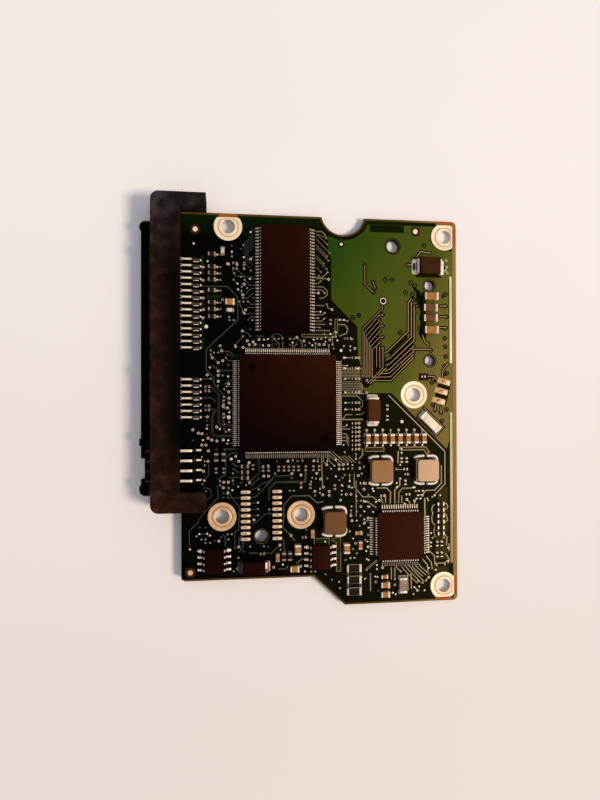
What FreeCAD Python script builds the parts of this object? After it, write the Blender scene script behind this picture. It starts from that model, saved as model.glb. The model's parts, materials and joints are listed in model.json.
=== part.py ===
import FreeCAD, Part
import os
import re
import Sketcher

# Circuit board of a 3.5 inch hard drive, component side up.
# Millimetres. The origin is the centre of the datum screw hole on the board's underside.
# +X runs away from the drive connector, +Y along the connector, +Z up out of the component side.

SIZES = {
    # bare board, measured from the datum hole
    "board_thickness": 1.0,
    "board_left": 8.15,
    "board_width": 57.85,
    "board_top": 61.75,
    "board_length": 80.65,
    "step_height": 6.1,
    "step_start": 18.8,
    "step_run": 6.5,
    "board_corner": 1.0,
    "notch_x": 25.15,
    "notch_radius": 4.65,
    "notch_outset": 1.0,
    # screw holes and their plated lands
    "screw_hole": 2.9,
    "land_outside": 5.85,
    "land_thickness": 0.06,
    "land_margin": 0.75,
    "top_screw_x": 1.25,
    "top_screw_inset": 2.65,
    "right_screw_inset": 2.6,
    "right_screw_drop": 3.3,
    "middle_screw_x": 40.3,
    "middle_screw_y": 24.75,
    "second_screw_x": 16.15,
    "corner_screw_inset": 3.05,
    "corner_screw_rise": 3.15,
    # plain holes
    "large_hole": 2.9,
    "small_hole": 2.4,
    "upper_hole_x": 35.8,
    "upper_hole_y": 56.1,
    "side_hole_x": 43.8,
    "side_hole_upper_y": 47.95,
    "side_hole_lower_y": 32.0,
    "centre_hole_x": 7.95,
    "centre_hole_y": -4.2,
    # bare contact pads
    "pad_thickness": 0.05,
    "head_pad_length": 1.95,
    "head_pad_width": 0.65,
    "head_pad_pitch": 1.2,
    "head_pad_rows": 9,
    "head_pad_x": 4.75,
    "head_pad_columns": 6.45,
    "head_pad_y": -4.7,
    "motor_pad_length": 2.9,
    "motor_pad_width": 1.2,
    "motor_pad_turn": -16,
    "motor_pad_x": 45.75,
    "motor_pad_y": 23.5,
    "motor_pad_pitch": 2.12,
    "motor_pad_count": 3,
    "strip_width": 0.55,
    "strip_inset": 0.95,
    "strip_upper_start": 31.5,
    "strip_upper_length": 18.5,
    "strip_lower_start": -11.0,
    "strip_lower_length": 32.0,
    # drive connector housing
    "edge_gap": 0.05,
    "housing_end": 1.65,
    "housing_rise": 4.3,
    "housing_drop": 1.3,
    "housing_corner": 1.6,
    "roof_depth": 5.6,
    "roof_wall": 0.8,
    "rear_wall": 2.0,
    "floor_wall": 1.7,
    "shell_reach": 2.35,
    "shell_end": 4.8,
    "shell_length": 54.3,
    "shell_height": 4.2,
    "shell_side": 1.5,
    "shell_corner": 1.2,
    "plug_cavity_length": 41.5,
    "jumper_cavity_length": 8.0,
    "jumper_cavity_start": 1.9,
    "jumper_floor_gap": 4.2,
    "jumper_floor_start": 3.0,
    "ear_length": 5.1,
    "ear_width": 3.9,
    "upper_ear_width": 2.6,
    "ear_corner": 0.8,
    "peg_diameter": 1.5,
    "peg_clearance": 0.05,
    "peg_inset": 2.9,
    "peg_stand": 0.2,
    "seam_width": 0.15,
    "seam_depth": 0.1,
    # tongues and contacts
    "contact_pitch": 1.27,
    "contact_width": 0.8,
    "contact_thickness": 0.25,
    "contact_lift": 0.8,
    "contact_tip": 0.4,
    "tail_width": 0.56,
    "tail_reach": 2.2,
    "tail_drop_run": 0.8,
    "tail_foot": 0.8,
    "tongue_thickness": 1.23,
    "tongue_margin": 1.4,
    "tongue_reach": 5.2,
    "key_width": 1.15,
    "key_height": 0.9,
    "power_contacts": 15,
    "power_start": 34.25,
    "signal_contacts": 7,
    "signal_start": 20.25,
    "jumper_pins": 4,
    "jumper_pitch": 2.0,
    "jumper_start": 7.6,
    "jumper_pin": 0.5,
    "jumper_lift": 1.3,
    "jumper_reach": 6.8,
    # controller: square package with leads on four sides
    "controller_x": 13.45,
    "controller_y": 23.05,
    "controller_width": 20.0,
    "controller_height": 1.4,
    "controller_stand": 0.1,
    "controller_reach": 1.0,
    "controller_foot": 0.6,
    "controller_sheet": 0.13,
    "controller_lead": 0.18,
    "controller_pitch": 0.4,
    "controller_leads": 44,
    "dimple_diameter": 1.6,
    "dimple_depth": 0.12,
    "dimple_inset": 2.6,
    # memory: thin package with leads on its long sides
    "memory_x": 13.0,
    "memory_y": 48.5,
    "memory_width": 10.16,
    "memory_length": 22.22,
    "memory_height": 1.0,
    "memory_stand": 0.1,
    "memory_reach": 0.8,
    "memory_foot": 0.5,
    "memory_sheet": 0.13,
    "memory_lead": 0.3,
    "memory_pitch": 0.65,
    "memory_leads": 33,
    # motor driver: small square package
    "driver_x": 37.1,
    "driver_y": -4.8,
    "driver_width": 10.0,
    "driver_height": 1.0,
    "driver_stand": 0.1,
    "driver_reach": 1.0,
    "driver_foot": 0.6,
    "driver_sheet": 0.13,
    "driver_lead": 0.22,
    "driver_pitch": 0.5,
    "driver_leads": 16,
    # two eight-lead packages of one size: firmware memory and power switch
    "flash_x": -1.55,
    "flash_y": -8.7,
    "switch_x": 20.15,
    "switch_y": -8.6,
    "small_outline_width": 3.9,
    "small_outline_length": 4.9,
    "small_outline_height": 1.45,
    "small_outline_stand": 0.15,
    "small_outline_reach": 1.05,
    "small_outline_foot": 0.6,
    "small_outline_sheet": 0.2,
    "small_outline_lead": 0.42,
    "small_outline_pitch": 1.27,
    "small_outline_leads": 4,
    "mould_draft": 6,
    "bend_lag": 0.6,
    # power inductors on drum cores
    "inductor_plate": 4.55,
    "inductor_corner": 0.7,
    "inductor_stand": 0.15,
    "inductor_base": 0.6,
    "inductor_waist": 0.75,
    "inductor_top": 0.65,
    "inductor_spool": 2.6,
    "inductor_winding": 4.1,
    "winding_gap": 0.03,
    "terminal_sheet": 0.15,
    "terminal_width": 2.3,
    "terminal_split": 0.5,
    "terminal_reach": 1.02,
    "terminal_inset": 1.0,
    "terminal_tab": 0.5,
    "inductor_1_x": 32.9,
    "inductor_1_y": 8.9,
    "inductor_2_x": 42.75,
    "inductor_2_y": 8.9,
    "inductor_3_x": 23.0,
    "inductor_3_y": -1.5,
    # moulded diodes
    "surge_x": 43.45,
    "surge_y": 51.9,
    "surge_length": 4.4,
    "surge_width": 3.6,
    "surge_height": 2.2,
    "surge_lead": 3.0,
    "flyback_x": 31.3,
    "flyback_y": 21.5,
    "input_x": 6.45,
    "input_y": -10.3,
    "small_diode_length": 4.5,
    "small_diode_width": 2.7,
    "small_diode_height": 2.0,
    "small_diode_lead": 2.2,
    "diode_sheet": 0.2,
    "diode_stand": 0.08,
    "diode_reach": 0.45,
    "diode_foot": 1.1,
    # shock sensor and ferrite bead with metal end caps
    "sensor_x": 43.65,
    "sensor_y": 18.95,
    "sensor_turn": -44,
    "sensor_length": 4.9,
    "sensor_width": 1.8,
    "sensor_height": 1.2,
    "sensor_cap": 0.7,
    "bead_x": 37.55,
    "bead_y": -15.15,
    "bead_turn": 90,
    "bead_length": 3.2,
    "bead_width": 1.6,
    "bead_height": 1.1,
    "bead_cap": 0.5,
    # chip sizes, named by their size codes
    "chip_1206_length": 3.2,
    "chip_1206_width": 1.6,
    "chip_1206_band": 0.5,
    "chip_0805_length": 2.0,
    "chip_0805_width": 1.25,
    "chip_0805_height": 1.2,
    "chip_0805_band": 0.42,
    "chip_0603_length": 1.6,
    "chip_0603_width": 0.8,
    "chip_0603_height": 0.75,
    "chip_0402_length": 1.0,
    "chip_0402_width": 0.5,
    "chip_0402_height": 0.42,
    "band_step": 0.03,
    # rows of larger chips
    "bulk_x": 43.75,
    "bulk_1_y": 45.55,
    "bulk_2_y": 43.2,
    "bulk_3_y": 41.0,
    "bulk_4_y": 38.45,
    "bulk_tall": 1.5,
    "bulk_low": 0.9,
    "output_x": 30.05,
    "output_y": 15.55,
    "output_pitch": 1.72,
    "sense_x": 27.15,
    "sense_y": -11.3,
    "sense_pitch": 2.4,
    "sense_height": 0.6,
}

FOUR_SIDES = 4
TWO_SIDES = 2
OUTPUT_CAPACITORS = 8
SENSE_RESISTORS = 3

# Centre and quarter turns of each smaller chip; a turn of 1 lies along Y.
FILTER_CAPACITORS = [
    (1.55, 43.6, 0), (15.4, -7.0, 1), (14.65, -10.9, 0), (25.6, -7.1, 1), (33.65, -14.9, 0),
    (33.65, -16.85, 0),
]
CONTACT_CHIP_X = -2.05
CONTACT_CHIP_ROWS = [53.3, 50.75, 49.45, 48.15, 45.95, 43.5, 42.15, 40.65]
SENSE_CHIP_X = 45.9
SENSE_CHIP_ROWS = [1.65, 0.4, -0.85, -2.1, -3.35, -4.6]
LINE_CHIPS = [
    (1.6, 42.0, 0), (0.15, 54.0, 1), (11.25, -8.6, 1), (12.55, -8.4, 1), (13.8, -8.4, 1),
    (18.5, -3.95, 1), (28.1, -4.0, 0), (28.55, -6.6, 1), (33.6, -13.3, 0), (-1.2, 12.1, 1),
    (0.3, 12.1, 1), (4.55, 10.2, 0), (4.55, 9.0, 0), (4.55, 7.85, 0),
]
LINE_CHIPS += [(CONTACT_CHIP_X, y, 0) for y in CONTACT_CHIP_ROWS]
LINE_CHIPS += [(SENSE_CHIP_X, y, 0) for y in SENSE_CHIP_ROWS]

TERMINATION_X = 27.25
TERMINATION_SINGLES = [32.5, 30.3, 28.1, 25.3, 23.1, 21.7]
TERMINATION_TOP = 18.8
TERMINATION_PITCH = 0.9
TERMINATION_COUNT = 7
RESISTOR_CHIPS = [(TERMINATION_X, y, 0) for y in TERMINATION_SINGLES]
for place_in_row in range(TERMINATION_COUNT):
    RESISTOR_CHIPS.append((TERMINATION_X, TERMINATION_TOP - TERMINATION_PITCH * place_in_row, 0))
RESISTOR_CHIPS += [
    (-1.2, 9.4, 1), (0.3, 9.4, 1), (6.25, 10.0, 1), (45.2, -6.8, 1), (46.2, -6.8, 1),
    (45.2, -9.1, 1), (46.2, -9.1, 1), (34.45, 22.1, 1), (34.45, 19.9, 1), (22.4, 39.9, 1),
    (26.25, 36.5, 0),
]

SIGNAL_CHIP_X = -3.0
SIGNAL_CHIP_ROWS = [26.4, 25.55, 22.55, 21.7]
BYPASS_ROW_Y = 9.6
BYPASS_ROW_X = [8.3, 9.4, 11.5, 12.6, 13.6, 14.6, 15.6, 17.1, 18.7, 19.9]
BYPASS_CHIPS = [(SIGNAL_CHIP_X, y, 0) for y in SIGNAL_CHIP_ROWS]
BYPASS_CHIPS += [(x, BYPASS_ROW_Y, 1) for x in BYPASS_ROW_X]
BYPASS_CHIPS += [
    (2.6, 51.6, 0), (2.6, 50.5, 0), (4.5, 50.9, 1), (16.15, 6.2, 1), (18.05, 5.9, 1), (23.2, 5.6, 1),
    (37.5, 11.0, 1), (38.6, 11.0, 1), (38.3, 9.1, 0), (38.3, 6.3, 1), (38.8, 3.8, 0), (33.3, 3.6, 0),
    (28.9, 6.3, 0), (16.7, -4.6, 0), (8.1, -7.7, 0), (42.3, 28.6, 0), (0.3, 23.2, 1), (0.3, 20.5, 1),
]

doc = FreeCAD.newDocument("HardDriveBoard")
sheet = doc.addObject("Spreadsheet::Sheet", "Sizes")
for row, (name, value) in enumerate(SIZES.items(), 1):
    sheet.set(f"A{row}", name)
    sheet.set(f"B{row}", str(value))
    sheet.setAlias(f"B{row}", name)
doc.recompute()

nodes = []


def bound(text):
    """Return an expression in which each named size is read from the sheet."""
    def full_name(word):
        return "Sizes." + word.group() if word.group() in SIZES else word.group()
    return re.sub(r"[a-z]\w*", full_name, text)


def value_of(text):
    """Return what an expression comes to with the sheet's sizes."""
    return float(sheet.evalExpression(bound(text)))


def node(thing, label):
    """Name a finished sub-part and put it on the list of those written out."""
    thing.Label = label
    nodes.append(thing)
    return thing


def new_body(label):
    """Return an empty body for a sub-part; its solids may be separate."""
    body = doc.addObject("PartDesign::Body", label)
    body.AllowCompound = True
    return node(body, label)


def origin_part(body, role):
    """Return one of a body's own origin planes or axes."""
    return next(part for part in body.Origin.OriginFeatures if part.Role == role)


def new_sketch(body, name, plane, lift):
    """Return an empty sketch on an origin plane, lifted along the plane's normal."""
    sketch = body.newObject("Sketcher::SketchObject", name)
    sketch.AttachmentSupport = (origin_part(body, plane), [""])
    sketch.MapMode = "FlatFace"
    sketch.setExpression("AttachmentOffset.Base.z", bound(lift))
    return sketch


def hold(sketch, kind, *where):
    """Add a constraint whose last argument is an expression on the sheet."""
    index = sketch.addConstraint(Sketcher.Constraint(kind, *where[:-1], value_of(where[-1])))
    sketch.setExpression(f"Constraints[{index}]", bound(where[-1]))


def outline(sketch, points):
    """Draw a closed polygon through points given as pairs of expressions."""
    corners = [FreeCAD.Vector(value_of(x), value_of(y), 0) for x, y in points]
    first = sketch.GeometryCount
    count = len(points)
    for i in range(count):
        sketch.addGeometry(Part.LineSegment(corners[i], corners[(i + 1) % count]))
    for i, (x, y) in enumerate(points):
        sketch.addConstraint(Sketcher.Constraint("Coincident", first + i, 2, first + (i + 1) % count, 1))
        hold(sketch, "DistanceX", -1, 1, first + i, 1, x)
        hold(sketch, "DistanceY", -1, 1, first + i, 1, y)
    return sketch


def rectangle(sketch, left, bottom, right, top):
    """Draw a rectangle between two corners given as expressions."""
    return outline(sketch, [(left, bottom), (right, bottom), (right, top), (left, top)])


def circle(sketch, x, y, diameter):
    """Draw a circle whose centre and diameter are expressions."""
    centre = FreeCAD.Vector(value_of(x), value_of(y), 0)
    index = sketch.addGeometry(Part.Circle(centre, FreeCAD.Vector(0, 0, 1), value_of(diameter) / 2))
    hold(sketch, "DistanceX", -1, 1, index, 3, x)
    hold(sketch, "DistanceY", -1, 1, index, 3, y)
    hold(sketch, "Diameter", index, diameter)


def pad(body, sketch, name, length, backwards=False, both_ways=False, draft=None):
    """Add material along a sketch's normal."""
    feature = body.newObject("PartDesign::Pad", name)
    feature.Profile = sketch
    feature.setExpression("Length", bound(length))
    feature.Reversed = backwards
    if both_ways:
        feature.SideType = "Symmetric"
    if draft:
        feature.setExpression("TaperAngle", bound(draft))
    doc.recompute()
    return feature


def pocket(body, sketch, name, depth, along_normal=False):
    """Cut material away, and make sure that something was cut."""
    before = body.Shape.Volume
    feature = body.newObject("PartDesign::Pocket", name)
    feature.Profile = sketch
    feature.setExpression("Length", bound(depth))
    feature.Reversed = along_normal
    doc.recompute()
    if body.Shape.Volume >= before:
        raise RuntimeError(name + " cuts nothing")
    return feature


def row_of(body, features, name, count, pitch):
    """Repeat features along +Y."""
    pattern = body.newObject("PartDesign::LinearPattern", name)
    pattern.Originals = features
    pattern.Direction = (origin_part(body, "Y_Axis"), [""])
    pattern.setExpression("Length", bound(f"({pitch}) * ({count} - 1)"))
    pattern.setExpression("Occurrences", bound(count))
    body.Tip = pattern
    doc.recompute()
    return pattern


def repeat(body, feature, name, steps):
    """Repeat a feature by several patterns or mirrors, one after another."""
    multi = body.newObject("PartDesign::MultiTransform", name)
    multi.Originals = [feature]
    multi.Transformations = [make(body) for make in steps]
    body.Tip = multi
    doc.recompute()


def line_step(count, pitch):
    """Return a step that repeats along +Y."""
    def make(body):
        step = body.newObject("PartDesign::LinearPattern", "row")
        step.Direction = (origin_part(body, "Y_Axis"), [""])
        step.setExpression("Length", bound(f"({pitch}) * ({count} - 1)"))
        step.setExpression("Occurrences", bound(count))
        return step
    return make


def turn_step(sides):
    """Return a step that repeats around Z."""
    def make(body):
        step = body.newObject("PartDesign::PolarPattern", "sides")
        step.Axis = (origin_part(body, "Z_Axis"), [""])
        step.Angle = 360
        step.Occurrences = sides
        return step
    return make


def mirror_step(plane):
    """Return a step that mirrors in an origin plane."""
    def make(body):
        step = body.newObject("PartDesign::Mirrored", "mirror")
        step.MirrorPlane = (origin_part(body, plane), [""])
        return step
    return make


def round_uprights(body, name, corners, radius):
    """Round the upright edges that stand at the given points."""
    base = body.Tip
    wanted = [(value_of(x), value_of(y)) for x, y in corners]
    found = []
    for index, edge in enumerate(base.Shape.Edges, 1):
        low, high = edge.Vertexes[0].Point, edge.Vertexes[-1].Point
        upright = abs(low.x - high.x) + abs(low.y - high.y) < 1e-6 and abs(low.z - high.z) > 1e-6
        if upright and any(abs(low.x - x) + abs(low.y - y) < 1e-5 for x, y in wanted):
            found.append(f"Edge{index}")
    feature = body.newObject("PartDesign::Fillet", name)
    feature.Base = (base, found)
    feature.setExpression("Radius", bound(radius))
    doc.recompute()


def place(thing, x, y, z="board_thickness", turn="0"):
    """Set a sub-part on the board, turned about Z."""
    thing.Placement.Rotation = FreeCAD.Rotation(FreeCAD.Vector(0, 0, 1), value_of(turn))
    thing.setExpression("Placement.Base.x", bound(x))
    thing.setExpression("Placement.Base.y", bound(y))
    thing.setExpression("Placement.Base.z", bound(z))
    thing.setExpression("Placement.Rotation.Angle", bound(turn))
    return thing


def group(label, things):
    """Gather separate solids into one sub-part."""
    gathered = doc.addObject("Part::Compound", label)
    gathered.Links = things
    return node(gathered, label)


BOARD_RIGHT = "(board_width - board_left)"
BOARD_BOTTOM = "(board_top - board_length)"

SCREW_HOLES = [
    ("0", "0"),
    ("second_screw_x", "0"),
    ("top_screw_x", "board_top - top_screw_inset"),
    (BOARD_RIGHT + " - right_screw_inset", "board_top - right_screw_drop"),
    ("middle_screw_x", "middle_screw_y"),
    (BOARD_RIGHT + " - corner_screw_inset", BOARD_BOTTOM + " + corner_screw_rise"),
]

PLAIN_HOLES = [
    ("upper_hole_x", "upper_hole_y", "large_hole"),
    ("side_hole_x", "side_hole_upper_y", "small_hole"),
    ("side_hole_x", "side_hole_lower_y", "small_hole"),
    ("centre_hole_x", "centre_hole_y", "large_hole"),
]

PEG = ("-board_left + peg_inset", "housing_end + ear_width / 2")


def make_board():
    """The laminate: outline with a stepped lower edge, an edge notch and its holes."""
    body = new_body("bare_board")
    left, low_left = "-board_left", BOARD_BOTTOM + " + step_height"
    points = [
        (left, "board_top"), (left, low_left), ("step_start", low_left),
        ("step_start + step_run", BOARD_BOTTOM), (BOARD_RIGHT, BOARD_BOTTOM), (BOARD_RIGHT, "board_top"),
    ]
    edge = outline(new_sketch(body, "board_outline", "XY_Plane", "0"), points)
    pad(body, edge, "laminate", "board_thickness")
    notch = new_sketch(body, "notch_circle", "XY_Plane", "0")
    circle(notch, "notch_x", "board_top + notch_outset", "2 * notch_radius")
    pocket(body, notch, "edge_notch", "board_thickness", along_normal=True)
    holes = new_sketch(body, "hole_circles", "XY_Plane", "0")
    for x, y in SCREW_HOLES:
        circle(holes, x, y, "screw_hole")
    for x, y, diameter in PLAIN_HOLES:
        circle(holes, x, y, diameter)
    circle(holes, *PEG, "peg_diameter + 2 * peg_clearance")
    pocket(body, holes, "holes", "board_thickness", along_normal=True)
    corners = [(left, low_left), (BOARD_RIGHT, BOARD_BOTTOM), (BOARD_RIGHT, "board_top")]
    round_uprights(body, "board_corners", corners, "board_corner")


def make_screw_lands():
    """Plated rings round the screw holes, cut short of the board's edges."""
    body = new_body("screw_lands")
    rings = new_sketch(body, "land_circles", "XY_Plane", "board_thickness")
    for x, y in SCREW_HOLES:
        circle(rings, x, y, "land_outside")
        circle(rings, x, y, "screw_hole")
    pad(body, rings, "lands", "land_thickness")
    trim = new_sketch(body, "margin", "XY_Plane", "board_thickness")
    away = "land_outside"
    rectangle(trim, f"-board_left - {away}", f"{BOARD_BOTTOM} - {away}",
              f"{BOARD_RIGHT} + {away}", f"board_top + {away}")
    rectangle(trim, "-board_left + land_margin", f"{BOARD_BOTTOM} + land_margin",
              f"{BOARD_RIGHT} - land_margin", "board_top - land_margin")
    pocket(body, trim, "margin_cut", "land_thickness", along_normal=True)


def make_contact_pads():
    """Bare pads for the head stack and the spindle motor, and the bare strip along the right edge."""
    body = new_body("head_contact_pads")
    sketch = new_sketch(body, "pads", "XY_Plane", "board_thickness")
    for column in ("head_pad_x", "head_pad_x + head_pad_columns"):
        rectangle(sketch, f"{column} - head_pad_length / 2", "head_pad_y - head_pad_width / 2",
                  f"{column} + head_pad_length / 2", "head_pad_y + head_pad_width / 2")
    first = pad(body, sketch, "first_row", "pad_thickness")
    row_of(body, [first], "rows", "head_pad_rows", "head_pad_pitch")

    body = new_body("motor_contact_pads")
    sketch = rectangle(new_sketch(body, "pad", "XY_Plane", "0"), "-motor_pad_length / 2",
                       "-motor_pad_width / 2", "motor_pad_length / 2", "motor_pad_width / 2")
    first = pad(body, sketch, "first_pad", "pad_thickness")
    row_of(body, [first], "row", "motor_pad_count", "motor_pad_pitch")
    place(body, "motor_pad_x", "motor_pad_y", turn="motor_pad_turn")

    strips = []
    for part in ("upper", "lower"):
        box = doc.addObject("Part::Box", f"{part}_strip")
        box.setExpression("Length", bound("strip_width"))
        box.setExpression("Width", bound(f"strip_{part}_length"))
        box.setExpression("Height", bound("pad_thickness"))
        place(box, f"{BOARD_RIGHT} - strip_inset - strip_width", f"strip_{part}_start")
        strips.append(box)
    group("edge_ground_strips", strips)


REAR = "(-board_left - edge_gap)"
ROOF_FRONT = f"({REAR} - roof_depth)"
SHELL_FRONT = f"({ROOF_FRONT} - shell_reach)"
CAVITY_BACK = f"({REAR} - rear_wall)"
HOUSING_TOP = "(board_thickness + housing_rise)"
FLOOR = "(floor_wall - housing_drop)"
CONTACT_PLANE = "(board_thickness + contact_lift)"
JUMPER_PLANE = "(board_thickness + jumper_lift)"


def make_connector_housing():
    """One moulding: roof, plug shell with two keyed tongues, jumper recess, ears and a locating peg."""
    body = new_body("connector_housing")
    end, far_end = "housing_end", "(board_top + edge_gap + upper_ear_width)"
    shell_far = "(shell_end + shell_length)"
    base = "-housing_drop"

    block = rectangle(new_sketch(body, "block", "XY_Plane", base), ROOF_FRONT, end, REAR, far_end)
    pad(body, block, "roof_block", f"{HOUSING_TOP} + housing_drop")
    round_uprights(body, "block_corners", [(ROOF_FRONT, end), (ROOF_FRONT, far_end)], "housing_corner")
    shell = rectangle(new_sketch(body, "shell", "XY_Plane", base), SHELL_FRONT, "shell_end",
                      f"{ROOF_FRONT} + roof_wall", shell_far)
    pad(body, shell, "plug_shell", "shell_height")
    shell_corners = [(SHELL_FRONT, "shell_end"), (SHELL_FRONT, shell_far)]
    round_uprights(body, "shell_corners", shell_corners, "shell_corner")

    ear_root, ear_tip = f"{REAR} - rear_wall / 2", f"{REAR} + ear_length"
    upper_ear = rectangle(new_sketch(body, "upper_ear_outline", "XY_Plane", base), ear_root,
                          "board_top + edge_gap", ear_tip, far_end)
    pad(body, upper_ear, "upper_ear", f"{HOUSING_TOP} + housing_drop")
    lower_ear = rectangle(new_sketch(body, "lower_ear_outline", "XY_Plane", "board_thickness"), ear_root,
                          end, ear_tip, "housing_end + ear_width")
    pad(body, lower_ear, "lower_ear", "housing_rise")
    ear_corners = [(ear_tip, end), (ear_tip, "housing_end + ear_width")]
    round_uprights(body, "ear_corners", ear_corners, "ear_corner")
    peg = new_sketch(body, "peg_circle", "XY_Plane", "board_thickness")
    circle(peg, *PEG, "peg_diameter")
    pad(body, peg, "locating_peg", "board_thickness + peg_stand", backwards=True)

    roof = f"({HOUSING_TOP} - roof_wall)"
    plug_start = f"({shell_far} - shell_side - plug_cavity_length)"
    plug = rectangle(new_sketch(body, "plug_opening", "YZ_Plane", CAVITY_BACK), plug_start, FLOOR,
                     f"{shell_far} - shell_side", roof)
    pocket(body, plug, "plug_cavity", f"{CAVITY_BACK} - {SHELL_FRONT}")
    jumper_low = "(shell_end + jumper_cavity_start)"
    jumper = rectangle(new_sketch(body, "jumper_opening", "YZ_Plane", CAVITY_BACK), jumper_low, FLOOR,
                       f"{jumper_low} + jumper_cavity_length", roof)
    pocket(body, jumper, "jumper_cavity", f"{CAVITY_BACK} - {SHELL_FRONT}")
    gap_low = "(shell_end + jumper_floor_start)"
    gap = rectangle(new_sketch(body, "floor_gap", "XY_Plane", base), SHELL_FRONT, gap_low, ROOF_FRONT,
                    f"{gap_low} + jumper_floor_gap")
    pocket(body, gap, "jumper_floor_gap", "floor_wall", along_normal=True)

    for kind in ("power", "signal"):
        make_tongue(body, kind)
    low = "(jumper_start - jumper_pin / 2)"
    slot = rectangle(new_sketch(body, "jumper_slot", "XY_Plane", JUMPER_PLANE), CAVITY_BACK, low, REAR,
                     f"{low} + jumper_pin")
    first = pocket(body, slot, "first_jumper_slot", "jumper_pin", along_normal=True)
    row_of(body, [first], "jumper_slots", "jumper_pins", "jumper_pitch")
    seam = rectangle(new_sketch(body, "seam_line", "XY_Plane", HOUSING_TOP), ROOF_FRONT, "shell_end",
                     CAVITY_BACK, "shell_end + seam_width")
    pocket(body, seam, "roof_seam", "seam_depth")


def make_tongue(body, kind):
    """A tongue with an upright key at its upper end and a groove for each contact."""
    low = f"({kind}_start - tongue_margin)"
    high = f"({kind}_start + contact_pitch * ({kind}_contacts - 1) + tongue_margin)"
    top = f"({CONTACT_PLANE} + tongue_thickness)"
    points = [
        (low, CONTACT_PLANE), (high, CONTACT_PLANE), (high, f"{top} + key_height"),
        (f"{high} - key_width", f"{top} + key_height"), (f"{high} - key_width", top), (low, top),
    ]
    section = outline(new_sketch(body, f"{kind}_section", "YZ_Plane", CAVITY_BACK), points)
    pad(body, section, f"{kind}_tongue", "tongue_reach", backwards=True)
    edge = f"({kind}_start - contact_width / 2)"
    tip = f"{CAVITY_BACK} - tongue_reach + contact_tip"
    groove = rectangle(new_sketch(body, f"{kind}_groove", "XY_Plane", CONTACT_PLANE), tip, edge, REAR,
                       f"{edge} + contact_width")
    first = pocket(body, groove, f"first_{kind}_groove", "contact_thickness", along_normal=True)
    row_of(body, [first], f"{kind}_grooves", f"{kind}_contacts", "contact_pitch")


def bent_strip(tip, plane, sheet_size):
    """Return the side view of a strip that runs level over the board, drops and ends in a flat foot."""
    drop = f"({REAR} + tail_reach)"
    foot = f"({drop} + tail_drop_run)"
    end = f"({foot} + tail_foot)"
    lag = f"bend_lag * {sheet_size}"
    return [
        (tip, plane), (drop, plane), (foot, "board_thickness"), (end, "board_thickness"),
        (end, f"board_thickness + {sheet_size}"), (f"{foot} + {lag}", f"board_thickness + {sheet_size}"),
        (f"{drop} + {lag}", f"{plane} + {sheet_size}"), (tip, f"{plane} + {sheet_size}"),
    ]


def make_contact_row(label, start, count, pitch, stretches):
    """A row of strips along the connector; each stretch of a strip has its width and its side view."""
    body = new_body(label)
    pads = []
    for number, (width, profile) in enumerate(stretches, 1):
        view = new_sketch(body, f"{label}_profile_{number}", "XZ_Plane", f"-({start})")
        pads.append(pad(body, outline(view, profile), f"{label}_stretch_{number}", width, both_ways=True))
    row_of(body, pads, label + "_row", count, pitch)


def make_contacts():
    """Blades of the plug with their narrower soldered tails, and the bent pins of the jumper block."""
    tip, top = f"{CAVITY_BACK} - tongue_reach + contact_tip", f"{CONTACT_PLANE} + contact_thickness"
    blade = [(tip, CONTACT_PLANE), (REAR, CONTACT_PLANE), (REAR, top), (tip, top)]
    tail = bent_strip(REAR, CONTACT_PLANE, "contact_thickness")
    for kind in ("power", "signal"):
        make_contact_row(f"{kind}_contact_blades", f"{kind}_start", f"{kind}_contacts", "contact_pitch",
                         [("contact_width", blade), ("tail_width", tail)])
    pin = bent_strip(f"{REAR} - jumper_reach", JUMPER_PLANE, "jumper_pin")
    make_contact_row("jumper_block_pins", "jumper_start", "jumper_pins", "jumper_pitch",
                     [("jumper_pin", pin)])


def moulded_block(body, length, width, height, stand):
    """A moulded package: two drafted halves that meet at the lead plane."""
    middle = f"{stand} + ({height}) / 2"
    half = f"({height}) / 2"
    corner = (f"-({length}) / 2", f"-({width}) / 2", f"({length}) / 2", f"({width}) / 2")
    upper = rectangle(new_sketch(body, "upper_half", "XY_Plane", middle), *corner)
    pad(body, upper, "upper_mould", half, draft="-mould_draft")
    lower = rectangle(new_sketch(body, "lower_half", "XY_Plane", middle), *corner)
    pad(body, lower, "lower_mould", half, backwards=True, draft="-mould_draft")


def gull_wing(kind, shoulder):
    """Return the side view of a lead: out of the package, down and along the board."""
    start = f"{kind}_width / 2"
    middle = f"({kind}_stand + {kind}_height / 2)"
    end = f"({kind}_width / 2 + {kind}_reach)"
    foot = f"({end} - {kind}_foot)"
    half = f"{kind}_sheet / 2"
    lag = f"bend_lag * {kind}_sheet"
    bend = f"({start} + {kind}_sheet)"
    under = [(start, f"{middle} - {half}"), (bend, f"{middle} - {half}"), (foot, "0"), (end, "0")]
    over = [(end, f"{kind}_sheet"), (f"{foot} + {lag}", f"{kind}_sheet"),
            (f"{bend} + {lag}", f"{middle} + {half}"), (start, f"{middle} + {half}")]
    if not shoulder:
        del under[1], over[2]
    return under + over


def make_package(name, kind, sides, shoulder=True):
    """A chip package and its leads; kind names the set of sizes."""
    body = new_body(f"{name}_package")
    length = f"{kind}_width" if sides == FOUR_SIDES else f"{kind}_length"
    moulded_block(body, f"{kind}_width", length, f"{kind}_height", f"{kind}_stand")
    place(body, f"{name}_x", f"{name}_y")
    leads = new_body(f"{name}_leads")
    start = f"{kind}_pitch * ({kind}_leads - 1) / 2"
    sketch = outline(new_sketch(leads, "lead_profile", "XZ_Plane", start), gull_wing(kind, shoulder))
    lead = pad(leads, sketch, "lead", f"{kind}_lead", both_ways=True)
    repeat(leads, lead, "lead_rows", [line_step(f"{kind}_leads", f"{kind}_pitch"), turn_step(sides)])
    place(leads, f"{name}_x", f"{name}_y")
    return body


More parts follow.
